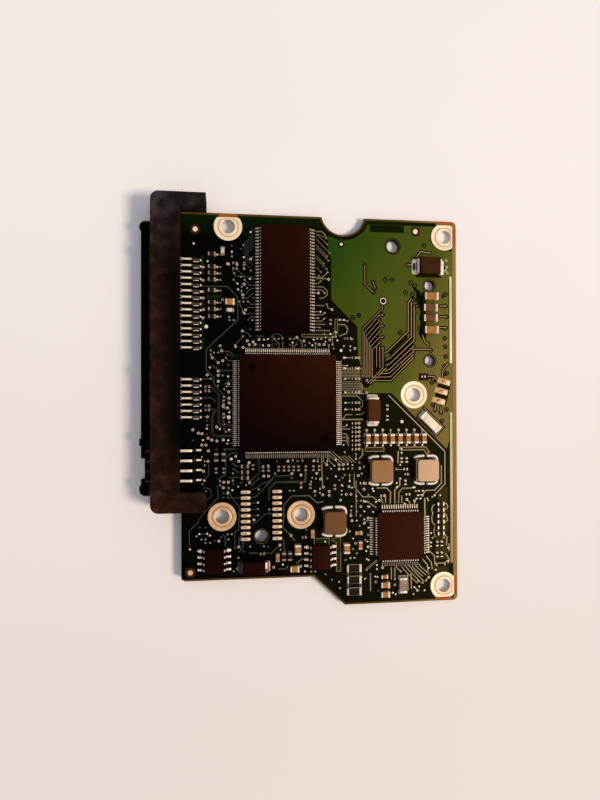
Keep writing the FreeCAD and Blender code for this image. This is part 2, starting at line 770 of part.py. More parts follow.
def make_packages():
    """The five chips; the controller also has two round mould marks."""
    controller = make_package("controller", "controller", FOUR_SIDES, shoulder=False)
    marks = new_sketch(controller, "marks", "XY_Plane", "controller_stand + controller_height")
    corner = "(controller_width / 2 - dimple_inset)"
    circle(marks, f"-{corner}", corner, "dimple_diameter")
    circle(marks, corner, f"-{corner}", "dimple_diameter")
    pocket(controller, marks, "mould_marks", "dimple_depth")
    make_package("memory", "memory", TWO_SIDES, shoulder=False)
    make_package("driver", "driver", FOUR_SIDES, shoulder=False)
    make_package("flash", "small_outline", TWO_SIDES)
    make_package("switch", "small_outline", TWO_SIDES)


def make_inductor(number):
    """A drum core with square plates, its winding, and four folded corner terminals."""
    name = f"inductor_{number}"
    x, y = f"{name}_x", f"{name}_y"
    half = "inductor_plate / 2"
    base_top = "(inductor_stand + inductor_base)"
    top_low = f"({base_top} + inductor_waist)"

    core = new_body(name + "_core")
    square = (f"-{half}", f"-{half}", half, half)
    top = rectangle(new_sketch(core, "top", "XY_Plane", top_low), *square)
    pad(core, top, "top_plate", "inductor_top")
    corners = [(a + half, b + half) for a in ("", "-") for b in ("", "-")]
    round_uprights(core, "plate_corners", corners, "inductor_corner")
    base = rectangle(new_sketch(core, "base", "XY_Plane", "inductor_stand"), *square)
    pad(core, base, "base_plate", "inductor_base")
    spool = new_sketch(core, "spool_circle", "XY_Plane", base_top)
    circle(spool, "0", "0", "inductor_spool")
    pad(core, spool, "spool", "inductor_waist")
    place(core, x, y)

    winding = new_body(name + "_winding")
    ring = new_sketch(winding, "winding_ring", "XY_Plane", f"{base_top} + winding_gap")
    circle(ring, "0", "0", "inductor_winding")
    circle(ring, "0", "0", "inductor_spool + 2 * winding_gap")
    pad(winding, ring, "turns", "inductor_waist - 2 * winding_gap")
    place(winding, x, y)

    terminals = new_body(name + "_terminals")
    profile = [
        (f"{half} - terminal_inset", "0"), (f"{half} + terminal_reach", "0"),
        (f"{half} + terminal_reach", "terminal_sheet"), (f"{half} + terminal_sheet", "terminal_sheet"),
        (f"{half} + terminal_sheet", "inductor_stand + terminal_tab"),
        (half, "inductor_stand + terminal_tab"), (half, "terminal_sheet"),
        (f"{half} - terminal_inset", "terminal_sheet"),
    ]
    sketch = outline(new_sketch(terminals, "fold", "YZ_Plane", "terminal_split / 2"), profile)
    fold = pad(terminals, sketch, "terminal", "terminal_width")
    repeat(terminals, fold, "corners", [mirror_step("YZ_Plane"), mirror_step("XZ_Plane")])
    place(terminals, x, y)


def make_diode(name, kind, turn):
    """A moulded diode whose two strips fold under its ends."""
    body = new_body(f"{name}_diode_body")
    stand = "(diode_sheet + diode_stand)"
    moulded_block(body, f"{kind}_length", f"{kind}_width", f"{kind}_height - {stand}", stand)
    place(body, f"{name}_x", f"{name}_y", turn=turn)
    leads = new_body(f"{name}_diode_strips")
    side = f"{kind}_length / 2"
    middle = f"({stand} + ({kind}_height - {stand}) / 2)"
    out = f"({side} + diode_reach)"
    profile = [
        (f"{out} - diode_foot", "0"), (out, "0"), (out, f"{middle} + diode_sheet / 2"),
        (side, f"{middle} + diode_sheet / 2"), (side, f"{middle} - diode_sheet / 2"),
        (f"{out} - diode_sheet", f"{middle} - diode_sheet / 2"), (f"{out} - diode_sheet", "diode_sheet"),
        (f"{out} - diode_foot", "diode_sheet"),
    ]
    sketch = outline(new_sketch(leads, "fold", "XZ_Plane", "0"), profile)
    strip = pad(leads, sketch, "strip", f"{kind}_lead", both_ways=True)
    repeat(leads, strip, "both_ends", [mirror_step("YZ_Plane")])
    place(leads, f"{name}_x", f"{name}_y", turn=turn)


def make_capped_chip(label, kind):
    """A ceramic or ferrite block between two metal end caps."""
    turn = f"{kind}_turn"
    side, inner = f"{kind}_length / 2", f"({kind}_length / 2 - {kind}_cap)"
    body = new_body(label + "_body")
    block = rectangle(new_sketch(body, "block", "XY_Plane", "band_step"), f"-{inner}",
                      f"-{kind}_width / 2 + band_step", inner, f"{kind}_width / 2 - band_step")
    pad(body, block, "core", f"{kind}_height - 2 * band_step")
    place(body, f"{kind}_x", f"{kind}_y", turn=turn)
    caps = new_body(label + "_end_caps")
    end = rectangle(new_sketch(caps, "end", "XY_Plane", "0"), inner, f"-{kind}_width / 2", side,
                    f"{kind}_width / 2")
    cap = pad(caps, end, "cap", f"{kind}_height")
    repeat(caps, cap, "both_ends", [mirror_step("YZ_Plane")])
    place(caps, f"{kind}_x", f"{kind}_y", turn=turn)


def make_banded_chip(label, code, height, x, y, turn="0"):
    """A chip part whose metal bands stand slightly proud of its body."""
    body = new_body(label)
    end, band = f"chip_{code}_length / 2", f"(chip_{code}_length / 2 - chip_{code}_band)"
    low, high = "band_step", f"({height} - band_step)"
    points = [
        (f"-{end}", "0"), (f"-{band}", "0"), (f"-{band}", low), (band, low), (band, "0"), (end, "0"),
        (end, height), (band, height), (band, high), (f"-{band}", high), (f"-{band}", height),
        (f"-{end}", height),
    ]
    sketch = outline(new_sketch(body, "side_view", "XZ_Plane", "0"), points)
    pad(body, sketch, "chip", f"chip_{code}_width", both_ways=True)
    place(body, x, y, turn=turn)


def make_chip_group(label, code, spots):
    """Small chips of one size, each a separate block on the board."""
    chips = []
    for count, (x, y, turned) in enumerate(spots, 1):
        sides = [f"chip_{code}_length", f"chip_{code}_width"]
        if turned:
            sides.reverse()
        box = doc.addObject("Part::Box", f"{label}_{count}")
        box.setExpression("Length", bound(sides[0]))
        box.setExpression("Width", bound(sides[1]))
        box.setExpression("Height", bound(f"chip_{code}_height"))
        place(box, f"{x} - {sides[0]} / 2", f"{y} - {sides[1]} / 2")
        chips.append(box)
    group(label, chips)


def make_chips():
    """Capacitors and resistors, from the largest to the smallest."""
    for number in (1, 2, 3, 4):
        height = "bulk_tall" if number in (1, 4) else "bulk_low"
        make_banded_chip(f"bulk_capacitor_{number}", "1206", height, "bulk_x", f"bulk_{number}_y")
    for number in range(OUTPUT_CAPACITORS):
        make_banded_chip(f"output_capacitor_{number + 1}", "0805", "chip_0805_height",
                         f"output_x + {number} * output_pitch", "output_y", turn="90")
    for number in range(SENSE_RESISTORS):
        make_banded_chip(f"sense_resistor_{number + 1}", "1206", "sense_height", "sense_x",
                         f"sense_y - {number} * sense_pitch")
    make_chip_group("filter_capacitors", "0805", FILTER_CAPACITORS)
    make_chip_group("line_chips", "0603", LINE_CHIPS)
    make_chip_group("termination_resistors", "0402", RESISTOR_CHIPS)
    make_chip_group("bypass_capacitors", "0402", BYPASS_CHIPS)


make_board()
make_screw_lands()
make_contact_pads()
make_connector_housing()
make_contacts()
make_packages()
for inductor in (1, 2, 3):
    make_inductor(inductor)
make_diode("surge", "surge", "0")
make_diode("flyback", "small_diode", "90")
make_diode("input", "small_diode", "0")
make_capped_chip("shock_sensor", "sensor")
make_capped_chip("ferrite_bead", "bead")
make_chips()
doc.recompute()

for thing in doc.Objects:
    if "Invalid" in thing.State or "Error" in thing.State:
        raise RuntimeError(thing.Name + " did not build")
for thing in nodes:
    if thing.Shape.isNull() or not thing.Shape.isValid():
        raise RuntimeError(thing.Label + " has no valid shape")

os.makedirs("parts", exist_ok=True)
for thing in nodes:
    thing.Shape.exportStep(f"parts/{thing.Label}.step")
print(len(nodes), "sub-parts written")
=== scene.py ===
"""Looks of a hard drive circuit board: mask, copper, solder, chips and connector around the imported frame."""

import json
import logging
import math
import random
from dataclasses import dataclass, field, replace
from enum import Enum
from typing import Callable, ClassVar, Optional, Sequence, Union

import bmesh
import bpy
from mathutils import Matrix, Vector


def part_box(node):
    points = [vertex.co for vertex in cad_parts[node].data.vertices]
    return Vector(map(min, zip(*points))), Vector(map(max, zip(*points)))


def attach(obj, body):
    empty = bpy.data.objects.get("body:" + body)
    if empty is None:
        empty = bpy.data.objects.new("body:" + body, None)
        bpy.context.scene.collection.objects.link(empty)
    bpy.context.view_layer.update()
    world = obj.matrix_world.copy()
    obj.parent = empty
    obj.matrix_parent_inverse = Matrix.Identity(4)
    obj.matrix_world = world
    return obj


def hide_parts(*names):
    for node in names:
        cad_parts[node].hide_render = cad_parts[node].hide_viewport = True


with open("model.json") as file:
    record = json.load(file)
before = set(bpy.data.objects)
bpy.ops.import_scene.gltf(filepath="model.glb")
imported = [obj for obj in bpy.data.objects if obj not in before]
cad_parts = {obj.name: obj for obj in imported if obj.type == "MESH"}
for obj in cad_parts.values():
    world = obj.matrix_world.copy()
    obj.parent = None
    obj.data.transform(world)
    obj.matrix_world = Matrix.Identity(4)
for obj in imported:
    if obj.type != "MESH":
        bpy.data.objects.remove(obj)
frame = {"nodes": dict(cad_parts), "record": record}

LOG = logging.getLogger("circuit_board")
MM = 0.001
ROOT = "root"
Point = tuple[float, float]
Triple = tuple[float, float, float]
Path = Sequence[Vector]
Number = Union[float, "Wire"]

# Places are drawn from the board end of the first power tail: across the board, then up along the connector.
DRAWING_ORIGIN = Vector((-6.15, 52.0))


def on_board(point: Point) -> Vector:
    """Return a drawn point in the frame, in millimetres."""
    return DRAWING_ORIGIN + Vector(point)


def pairs(*places: float) -> tuple[Vector, ...]:
    """Return drawn places, each across and then up, as points in the frame."""
    return tuple(map(on_board, zip(places[::2], places[1::2])))


def srgb(red: float, green: float, blue: float) -> Triple:
    """Return a screen colour as linear light."""
    shares = (red / 255, green / 255, blue / 255)
    return tuple(c / 12.92 if c < 0.04045 else ((c + 0.055) / 1.055) ** 2.4 for c in shares)


def operator(operation: str, reflected: bool = False) -> Callable[["Wire", Number], "Wire"]:
    """Return a method of Wire that adds a Math node; the reflected form exchanges its sides.

    Args:
        operation: What the node does.
        reflected: Exchange its sides.

    Returns:
        The method.
    """
    def apply(self: "Wire", other: Number) -> "Wire":
        """Return the node's result."""
        first, second = (other, self) if reflected else (self, other)
        return self.graph.add("Math", {"operation": operation}, {0: first, 1: second})
    return apply


class Wire:
    """A node's output that takes part in Python arithmetic; each operator adds a Math node."""

    def __init__(self, graph: "Graph", socket: bpy.types.NodeSocket) -> None:
        """Keep the socket and the graph that it belongs to."""
        self.graph = graph
        self.socket = socket

    __add__ = operator("ADD")
    __radd__ = operator("ADD", True)
    __sub__ = operator("SUBTRACT")
    __rsub__ = operator("SUBTRACT", True)
    __mul__ = operator("MULTIPLY")
    __rmul__ = operator("MULTIPLY", True)


class Graph:
    """The node tree of a material or of the world, filled through one method."""

    def __init__(self, owner: Union[bpy.types.Material, bpy.types.World]) -> None:
        """Switch the owner's nodes on and keep its shader.

        Args:
            owner: The material or the world.
        """
        owner.use_nodes = True
        self.tree = owner.node_tree
        self.shader = next(n for n in self.tree.nodes if n.type in ("BSDF_PRINCIPLED", "BACKGROUND"))

    def add(self, kind: str, settings: dict, sockets: dict, output: Union[int, str] = 0) -> Wire:
        """Add a node.

        Args:
            kind: The node's type, without the words that all types start with.
            settings: Its properties, set first; "stops" are a ramp's positions and greys.
            sockets: Values or wires of its inputs, by number or name.
            output: The output that is returned.

        Returns:
            The chosen output.
        """
        node = self.tree.nodes.new("ShaderNode" + kind)
        for key, value in settings.items():
            if key != "stops":
                setattr(node, key, value)
                continue
            for element, (position, grey) in zip(node.color_ramp.elements, value):
                element.position = position
                element.color = (grey, grey, grey, 1.0)
        for key, value in sockets.items():
            self.feed(node.inputs[key], value)
        return Wire(self, node.outputs[output])

    def feed(self, socket: bpy.types.NodeSocket, value: object) -> None:
        """Link a wire to a socket, or set the socket's own value.

        Args:
            socket: The input.
            value: A wire, a number or a colour.
        """
        if isinstance(value, Wire):
            self.tree.links.new(value.socket, socket)
        elif isinstance(value, tuple) and len(value) == 3 and socket.type == "RGBA":
            socket.default_value = (*value, 1.0)
        else:
            socket.default_value = value

    def place(self) -> Wire:
        """Return the point in the frame, in metres."""
        return self.add("TexCoord", {}, {}, "Object")

    def way(self, axis: str) -> Wire:
        """Return the place along an axis of the frame, in metres."""
        return self.add("SeparateXYZ", {}, {0: self.place()}, axis)

    def span(self, way: Wire, start_mm: float, end_mm: float) -> Wire:
        """Return a way in metres as a value from 0 at its start to 1 at its end."""
        return self.add("MapRange", {}, {0: way, 1: start_mm * MM, 2: end_mm * MM, 3: 0.0, 4: 1.0})

    def noise(self, grain_mm: float, detail: float = 2.0, stretch: Triple = (1.0, 1.0, 1.0)) -> Wire:
        """Return noise whose patches are about one grain wide.

        Args:
            grain_mm: The width of a patch.
            detail: How fine its layers get.
            stretch: Factors of the axes.

        Returns:
            The noise.
        """
        spot = self.add("VectorMath", {"operation": "MULTIPLY"}, {0: self.place(), 1: stretch})
        sockets = {"Vector": spot, "Scale": 1 / (grain_mm * MM), "Detail": detail}
        return self.add("TexNoise", {}, sockets, "Fac")

    def ramp(self, value: Wire, low: float, high: float) -> Wire:
        """Return the value spread from 0 at low to 1 at high."""
        return self.add("ValToRGB", {"stops": [(low, 0.0), (high, 1.0)]}, {"Fac": value})

    def mix(self, factor: Number, first: object, second: object) -> Wire:
        """Return a colour between two colours."""
        return self.add("Mix", {"data_type": "RGBA"}, {0: factor, 6: first, 7: second}, 2)

    def bump(self, height: Wire, depth_mm: float, strength: float) -> Wire:
        """Return a normal bent by a height."""
        return self.add("Bump", {}, {"Height": height, "Distance": depth_mm * MM, "Strength": strength})


@dataclass(frozen=True)
class Fade:
    """A tone that takes over between two places along X, or along a way that counts X and Y by shares."""

    tone: Triple
    start_mm: float
    end_mm: float
    across: float = 1.0
    up: float = 0.0

    def over(self, graph: Graph, colour: Wire) -> Wire:
        """Return a colour that turns towards the tone."""
        way = graph.way("X") * self.across + graph.way("Y") * self.up
        return graph.mix(graph.span(way, self.start_mm, self.end_mm), colour, srgb(*self.tone))


@dataclass(frozen=True)
class Finish:
    """A surface whose colour wanders between two screen tones, with grain in its gloss and height."""

    made: ClassVar[dict[str, bpy.types.Material]] = {}
    name: str
    tone: Triple
    second: Triple
    patch_mm: float = 2.0
    grain_mm: float = 0.15
    roughness: float = 0.5
    spread: float = 0.15
    metallic: float = 0.0
    relief_mm: float = 0.004
    specular: float = 0.5
    coat: float = 0.0
    fades: tuple[Fade, ...] = ()

    def blend(self, graph: Graph, share: Wire) -> Wire:
        """Return a colour between the two tones, with its fades.

        Args:
            graph: The material's nodes.
            share: From 0, the first tone, to 1.

        Returns:
            The colour.
        """
        colour = graph.mix(share, srgb(*self.tone), srgb(*self.second))
        for fade in self.fades:
            colour = fade.over(graph, colour)
        return colour

    def colour(self, graph: Graph) -> Wire:
        """Return the tones in patches."""
        return self.blend(graph, graph.ramp(graph.noise(self.patch_mm, 4.0), 0.35, 0.65))

    def height(self, graph: Graph) -> Wire:
        """Return the height of the surface's own grain, from 0 to 1."""
        return graph.noise(self.grain_mm, 3.0)

    def material(self) -> bpy.types.Material:
        """Return the material, made once."""
        if self.name in self.made:
            return self.made[self.name]
        made = bpy.data.materials.new(self.name)
        self.made[self.name] = made
        graph = Graph(made)
        grain = graph.noise(self.patch_mm * 0.5, 3.0)
        for name, value in (("Base Color", self.colour(graph)), ("Metallic", self.metallic),
                            ("Roughness", self.roughness + (grain - 0.5) * self.spread),
                            ("Specular IOR Level", self.specular), ("Coat Weight", self.coat),
                            ("Normal", graph.bump(self.height(graph), self.relief_mm, 0.6))):
            graph.feed(graph.shader.inputs[name], value)
        return made

    def dress(self, mesh: bpy.types.Mesh) -> None:
        """Make this the only finish of a mesh."""
        mesh.materials.clear()
        mesh.materials.append(self.material())


@dataclass(frozen=True)
class MouldedHousing(Finish):
    """Connector plastic: dark, browner at its near end, greyer at its far end, and near black on the plug as
    painted shade.
    """

    far_end_grey: Triple = srgb(64, 59, 63)
    # The near black of the painted shade on the plug.
    painted_plug_shade: Triple = srgb(1, 1, 1)
    low_end_mm: float = 0.0
    high_end_mm: float = 64.0
    fade_mm: float = 16.0
    roof_mm: Point = (-9.6, -13.9)
    plug_mm: float = -14.5

    def colour(self, graph: Graph) -> Wire:
        """Return the colour, paler near the ends and in dusty patches, and near black on the plug as painted
        shade.

        Args:
            graph: The material's nodes.

        Returns:
            The colour.
        """
        high = graph.span(graph.way("Y"), self.high_end_mm - self.fade_mm, self.high_end_mm)
        low = graph.span(graph.way("Y"), self.low_end_mm + self.fade_mm, self.low_end_mm)
        dust = graph.ramp(graph.noise(self.patch_mm, 6.0), 0.42, 0.66)
        specks = graph.ramp(graph.noise(self.grain_mm, 2.0), 0.55, 0.75)
        pale = graph.mix(high, srgb(*self.second), self.far_end_grey)
        outer = graph.span(graph.way("X"), *self.roof_mm)
        # The colour turns paler towards both ends and towards the roof's outer edge, more so in the noise
        # patches.
        paleness = (high + low) * (0.16 + dust * 0.36) + outer * (0.2 + dust * 0.4 + specks * 0.16)
        # Painted shade: beyond the roof the plug is mixed to near black.
        plug = graph.span(graph.way("X"), self.roof_mm[1], self.plug_mm)
        return graph.mix(plug, graph.mix(paleness, srgb(*self.tone), pale), self.painted_plug_shade)


@dataclass(frozen=True)
class WovenLaminate(Finish):
    """Glass cloth in resin: a fine square weave shows in its colour and height."""

    thread_mm: float = 0.35

    def height(self, graph: Graph) -> Wire:
        """Return the weave's height.

        Args:
            graph: The material's nodes.

        Returns:
            The height.
        """
        across = {"Scale": 0.32 / (self.thread_mm * MM), "Distortion": 0.4, "Vector": graph.place()}
        warp = graph.add("TexWave", {"bands_direction": "X"}, across, "Fac")
        weft = graph.add("TexWave", {"bands_direction": "Y"}, across, "Fac")
        return warp * weft

    def colour(self, graph: Graph) -> Wire:
        """Return the resin colour, paler where threads cross."""
        weave = self.height(graph) * 0.5 + graph.noise(self.patch_mm, 4.0) * 0.5
        return self.blend(graph, weave)


@dataclass(frozen=True)
class GroundFerrite(Finish):
    """Ground ferrite: fine streaks one way and dark pores, with painted shade on sides that don't face up."""

    pore: Triple = (0.1, 0.06, 0.04)
    painted_side_shade: Triple = (0.012, 0.008, 0.006)

    def colour(self, graph: Graph) -> Wire:
        """Return the streaked colour with its pores, and painted shade on the sides that don't face up.

        Args:
            graph: The material's nodes.

        Returns:
            The colour.
        """
        streaks = graph.noise(self.grain_mm, 3.0, (1.0, 0.12, 1.0))
        pores = graph.ramp(graph.noise(self.grain_mm * 0.7, 1.0), 0.7, 0.78)
        ground = graph.mix(pores * 0.5, self.blend(graph, streaks), self.pore)
        # Painted shade: faces that don't point up are mixed to near black.
        facing = graph.add("NewGeometry", {}, {}, "Normal")
        upright = graph.add("SeparateXYZ", {}, {0: facing}, "Z")
        return graph.mix(graph.ramp(upright, 0.3, 0.8), self.painted_side_shade, ground)


# Painted light: the bare laminate's fade makes it paler towards the right edge, on the lamp's side.
LAMINATE = WovenLaminate("bare_laminate", (68, 50, 8), (96, 70, 15), 3, 0.3, 0.6, 0.15, 0, 0.006, 0.1,
    fades=(Fade((142, 112, 58), 36, 49),))
WARM_LAMINATE = WovenLaminate("warm_laminate", (160, 92, 34), (136, 72, 24), 1, 0.3, 0.6, 0.15, 0, 0.006,
    0.1)
# Painted light: the mask's first fade lightens it towards the right, on the lamp's side.
MASK = Finish("dark_mask", (2, 2, 2), (3, 5, 2), 5, 0.5, 0.34, 0.1, 0, 0.004, 0.015,
    fades=(Fade((24, 24, 7), 8, 50), Fade((12, 26, 4), 56.5, 61, 0, 1)))
# Painted light: the pour's fades make it paler and browner towards the lower right, on the lamp's side.
POUR = Finish("mask_over_pour", (34, 64, 9), (40, 70, 12), 6, 0.4, 0.35, 0.08, 0, 0.005, 0.02,
    fades=(Fade((78, 86, 24), -10, 12, up=-0.6), Fade((118, 104, 52), 27, 36, up=-0.35)))
# Painted light: paler towards the right.
DIM_POUR = Finish("dim_pour", (18, 34, 6), (24, 42, 8), 3, 0.4, 0.35, 0.08, 0, 0.005, 0.02,
    fades=(Fade((52, 46, 15), 14, 50),))
# Painted light: tracks, thin tracks and track cores turn paler towards the right.
TRACK = Finish("mask_over_track", (50, 55, 44), (60, 64, 52), 3, 0.3, 0.35, 0.1, 0, 0.004, 0.06,
    fades=(Fade((180, 162, 122), 10, 42),))
# Painted light: paler towards the right.
THIN_TRACK = Finish("thin_track", (78, 78, 70), (64, 66, 58), 1.5, 0.3, 0.35, 0.1, 0, 0.004, 0.06,
    fades=(Fade((206, 184, 132), 8, 40),))
# Painted light: paler towards the right.
TRACK_CORE = Finish("track_core", (14, 18, 11), (20, 24, 15), 3, 0.3, 0.35, 0.1, 0, 0.004, 0.03,
    fades=(Fade((56, 50, 26), 10, 42),))
# Painted light: paler towards the right.
POUR_TRACK = Finish("track_over_pour", (114, 99, 72), (130, 111, 82), 1.5, 0.3, 0.35, 0.1, 0, 0.004, 0.04,
    fades=(Fade((188, 158, 112), 26, 40),))
SPRING_PAD = Finish("spring_pad", (206, 166, 112), (190, 148, 96), 0.9, 0.2, 0.5, 0.2, 0.2, 0.006)
PLATING = Finish("cream_plating", (212, 178, 136), (196, 160, 116), 1.4, 0.2, 0.45, 0.2, 0.2, 0.006,
    fades=(Fade((242, 224, 190), 24, 36, up=0.8),))
LAND_GROOVE = Finish("land_groove", (150, 100, 56), (170, 122, 72), 0.8, 0.15, 0.5, 0.2, 0.15, 0.006,
    fades=(Fade((196, 156, 104), 24, 36, up=0.8),))
HEAD_PLATING = Finish("head_plating", (208, 184, 152), (188, 162, 128), 1, 0.2, 0.45, 0.2, 0.25, 0.006)
MARK_RING = Finish("mark_ring", (48, 24, 8), (62, 32, 12), 0.8, 0.2, 0.6, 0.1, specular=0.05)
WORN_PLATING = Finish("worn_plating", (116, 74, 38), (142, 98, 54), 0.8, 0.15, 0.5, 0.2, 0.2, 0.006)
STRIP_PLATING = Finish("strip_plating", (222, 216, 166), (206, 196, 144), 2, 0.2, 0.45, 0.2, 0.1, 0.006,
    fades=(Fade((152, 126, 74), 24, -2, 0, 1),))
LEAD = Finish("plated_lead", (206, 194, 178), (172, 160, 144), 0.6, 0.1, 0.3, 0.15, 0.6, 0.005)
# A darker copy of lead metal: painted shade on feet that head down, and on the driver's left and right feet.
LEAD_IN_PAINTED_SHADE = Finish("lead_in_painted_shade", (138, 124, 110), (110, 98, 86), 0.6, 0.1, 0.3, 0.15, 0.5, 0.005)
# Dark metal as painted shade: lead and tail bends, jumper blades in their recess, inductor terminal pads,
# chips' left ends, and the surge diode's left strip.
METAL_IN_PAINTED_SHADE = Finish("metal_in_painted_shade", (46, 38, 32), (66, 56, 48), 0.6, 0.1, 0.4, 0.15, 0.3, 0.005, 0.1)
TINNED = Finish("tinned_metal", (236, 222, 200), (204, 186, 162), 0.7, 0.12, 0.36, 0.2, 0.15, 0.006)
# Painted light: dull tin turns paler towards the right, on the lamp's side.
DULL_TIN = Finish("dull_tin", (164, 150, 130), (126, 112, 96), 0.6, 0.12, 0.4, 0.2, 0.2, 0.006,
    fades=(Fade((226, 208, 180), 18, 36),))
# Painted light: end caps turn paler towards the right, on the lamp's side.
END_CAP = Finish("end_cap", (168, 150, 122), (136, 120, 98), 0.4, 0.1, 0.42, 0.2, 0.2, 0.006,
    fades=(Fade((226, 204, 166), 16, 38),))
SHADED_STRIP = Finish("shaded_strip", (60, 52, 44), (44, 38, 32), 0.6, 0.1, 0.4, 0.2, 0.2, 0.006,
    fades=(Fade((122, 90, 62), 5, 8),))
SOLDER = Finish("solder", (226, 212, 192), (180, 166, 148), 0.5, 0.1, 0.3, 0.2, 0.3, 0.008)
# A brighter copy of solder: used for solder, and also for painted highlights on tails, leads, terminals and
# diodes.
BRIGHT_SOLDER = Finish("bright_solder", (252, 244, 230), (226, 210, 188), 0.5, 0.1, 0.32, 0.2, 0.05, 0.008)
# A dark copy of contact metal: painted shade on the connector's flat tails and the solder at their feet.
TAIL_IN_PAINTED_SHADE = Finish("tail_in_painted_shade", (66, 54, 40), (48, 40, 30), 0.6, 0.1, 0.4, 0.15, 0.3, 0.004)
CONTACT = Finish("contact_strip", (250, 240, 214), (232, 216, 184), 0.8, 0.2, 0.3, 0.15, 0.15, 0.004)
# Painted light: the resin turns browner towards the right, on the lamp's side.
RESIN = Finish("moulded_resin", (20, 4, 2), (26, 6, 3), 4, 0.09, 0.62, 0.12, 0, 0.006, 0.02,
    fades=(Fade((50, 21, 8), 2, 38),))
# Painted light and shade on the controller's resin: browner towards the right, near black towards the bottom.
CONTROLLER_RESIN = Finish("controller_resin", (20, 4, 2), (26, 6, 3), 4, 0.09, 0.62, 0.12, 0, 0.006, 0.015,
    fades=(Fade((50, 21, 8), 2, 30), Fade((6.59, 1.32, 0.66), 32, 12, 0, 1)))
# Painted light and shade on the memory's resin: browner towards the right, near black towards the bottom.
MEMORY_RESIN = replace(CONTROLLER_RESIN, name="memory_resin",
    fades=(Fade((50, 21, 8), 2, 38), Fade((6.59, 1.32, 0.66), 56, 36, 0, 1)))
DIMPLE = Finish("mould_dimple", (3, 1, 1), (6, 2, 1), 1, 0.1, 0.8, 0.1, 0, 0.003, 0.01)
DIODE_RESIN = Finish("brown_resin", (62, 34, 15), (54, 28, 12), 1.5, 0.1, 0.6, 0.12, specular=0.05)
RED_RESIN = Finish("red_brown_resin", (82, 42, 19), (72, 36, 16), 1.5, 0.1, 0.6, 0.12, specular=0.05)
HOUSING = MouldedHousing("moulded_plastic", (9, 4, 2), (72, 46, 34), 2.4, 0.3, 0.6, 0.2, 0, 0.025, 0.02)
FERRITE = GroundFerrite("ground_ferrite", (160, 120, 80), (142, 104, 66), 2, 0.12, 0.7, 0.1, specular=0.1)
PALE_FERRITE = replace(FERRITE, name="pale_ferrite", tone=(208, 176, 138), second=(194, 160, 122))
DEEP_FERRITE = replace(FERRITE, name="deep_ferrite", tone=(116, 78, 46), second=(100, 66, 36))
COPPER_WIRE = Finish("enamelled_wire", (110, 50, 22), (80, 34, 14), 0.6, 0.1, 0.3, 0.1, 0.5, 0.004, coat=0.3)
TAN_CERAMIC = Finish("tan_ceramic", (168, 118, 58), (148, 102, 48), 0.8, 0.1, 0.5, 0.12, specular=0.2)
BROWN_CERAMIC = Finish("brown_ceramic", (112, 74, 42), (90, 58, 32), 0.8, 0.1, 0.5, 0.12, specular=0.15)
BLACK_GLAZE = Finish("black_glaze", (18, 14, 8), (28, 22, 12), 0.6, 0.1, 0.35, 0.12, specular=0.08)
SENSOR_CERAMIC = Finish("sensor_glaze", (240, 228, 200), (222, 206, 174), 0.9, 0.12, 0.5, 0.12)
CREAM_CERAMIC = Finish("cream_ceramic", (212, 200, 170), (194, 180, 148), 0.9, 0.12, 0.5, 0.12)
BEAD_CERAMIC = Finish("bead_ceramic", (158, 134, 120), (132, 110, 98), 0.8, 0.1, 0.5, 0.12, specular=0.2)
PALE_CERAMIC = Finish("pale_ceramic", (208, 202, 190), (176, 170, 158), 0.5, 0.1, 0.5, 0.12, specular=0.2)
DARK_CERAMIC = Finish("dark_ceramic", (40, 27, 17), (54, 36, 22), 0.6, 0.1, 0.5, 0.12, specular=0.15)
GREY_CERAMIC = Finish("grey_ceramic", (84, 74, 62), (62, 54, 44), 0.8, 0.1, 0.5, 0.12, specular=0.2)
# Near black: painted shade in open via holes, the ring contact's hole and plain holes' walls; it also fills
# the moat round the ring contact.
HOLE_SHADE = Finish("painted_hole_shade", (8, 7, 5), (16, 14, 10), 0.3, 0.1, 0.6, 0.1, specular=0.05)
# Painted shade: the floor's fade darkens it towards the bottom.
FLOOR = Finish("pale_floor", (244, 243, 243), (241, 240, 240), 60, 1, 0.75, 0.1, 0, 0.01, 0.1,
    fades=(Fade((230, 226, 223), 60, -40, 0, 1),))


@dataclass(frozen=True)
class Block:
    """A box in the frame, in millimetres."""

    low: Vector
    high: Vector

    @property
    def centre(self) -> Vector:
        """Return the middle of the box."""
        return (self.low + self.high) / 2

    @property
    def size(self) -> Vector:
        """Return the box's three sides."""
        return self.high - self.low

    @classmethod
    def of_node(cls, node: str) -> "Block":
        """Return the box of a CAD node."""
        low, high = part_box(node)
        return cls(low / MM, high / MM)


BOARD = Block.of_node("bare_board")
RIGHT = Vector((1.0, 0.0))
UP = Vector((0.0, 1.0))
FACE = BOARD.high.z
BACK = BOARD.low.z
WELD_M = 1e-7
FLAT_DEG = 1.0
EASED_FROM_DEG = 28.0
SHARP_COPY_DEG = 40.0


class Layer(Enum):
    """Heights of the printed layers above the board's face, in millimetres."""

    MASK = 0.02
    POUR = 0.038
    MOAT = 0.044
    TRACK = 0.056
    PAD = 0.066

    @property
    def top(self) -> float:
        """Return the layer's height in the frame."""
        return FACE + self.value


def welded(node: str) -> bmesh.types.BMesh:
    """Return a CAD node's mesh with its faces joined, to work on.

    Args:
        node: The CAD node.

    Returns:
        The mesh; whoever asks for it frees it.
    """
    work = bmesh.new()
    work.from_mesh(frame["nodes"][node].data)
    bmesh.ops.remove_doubles(work, verts=work.verts, dist=WELD_M)
    return work


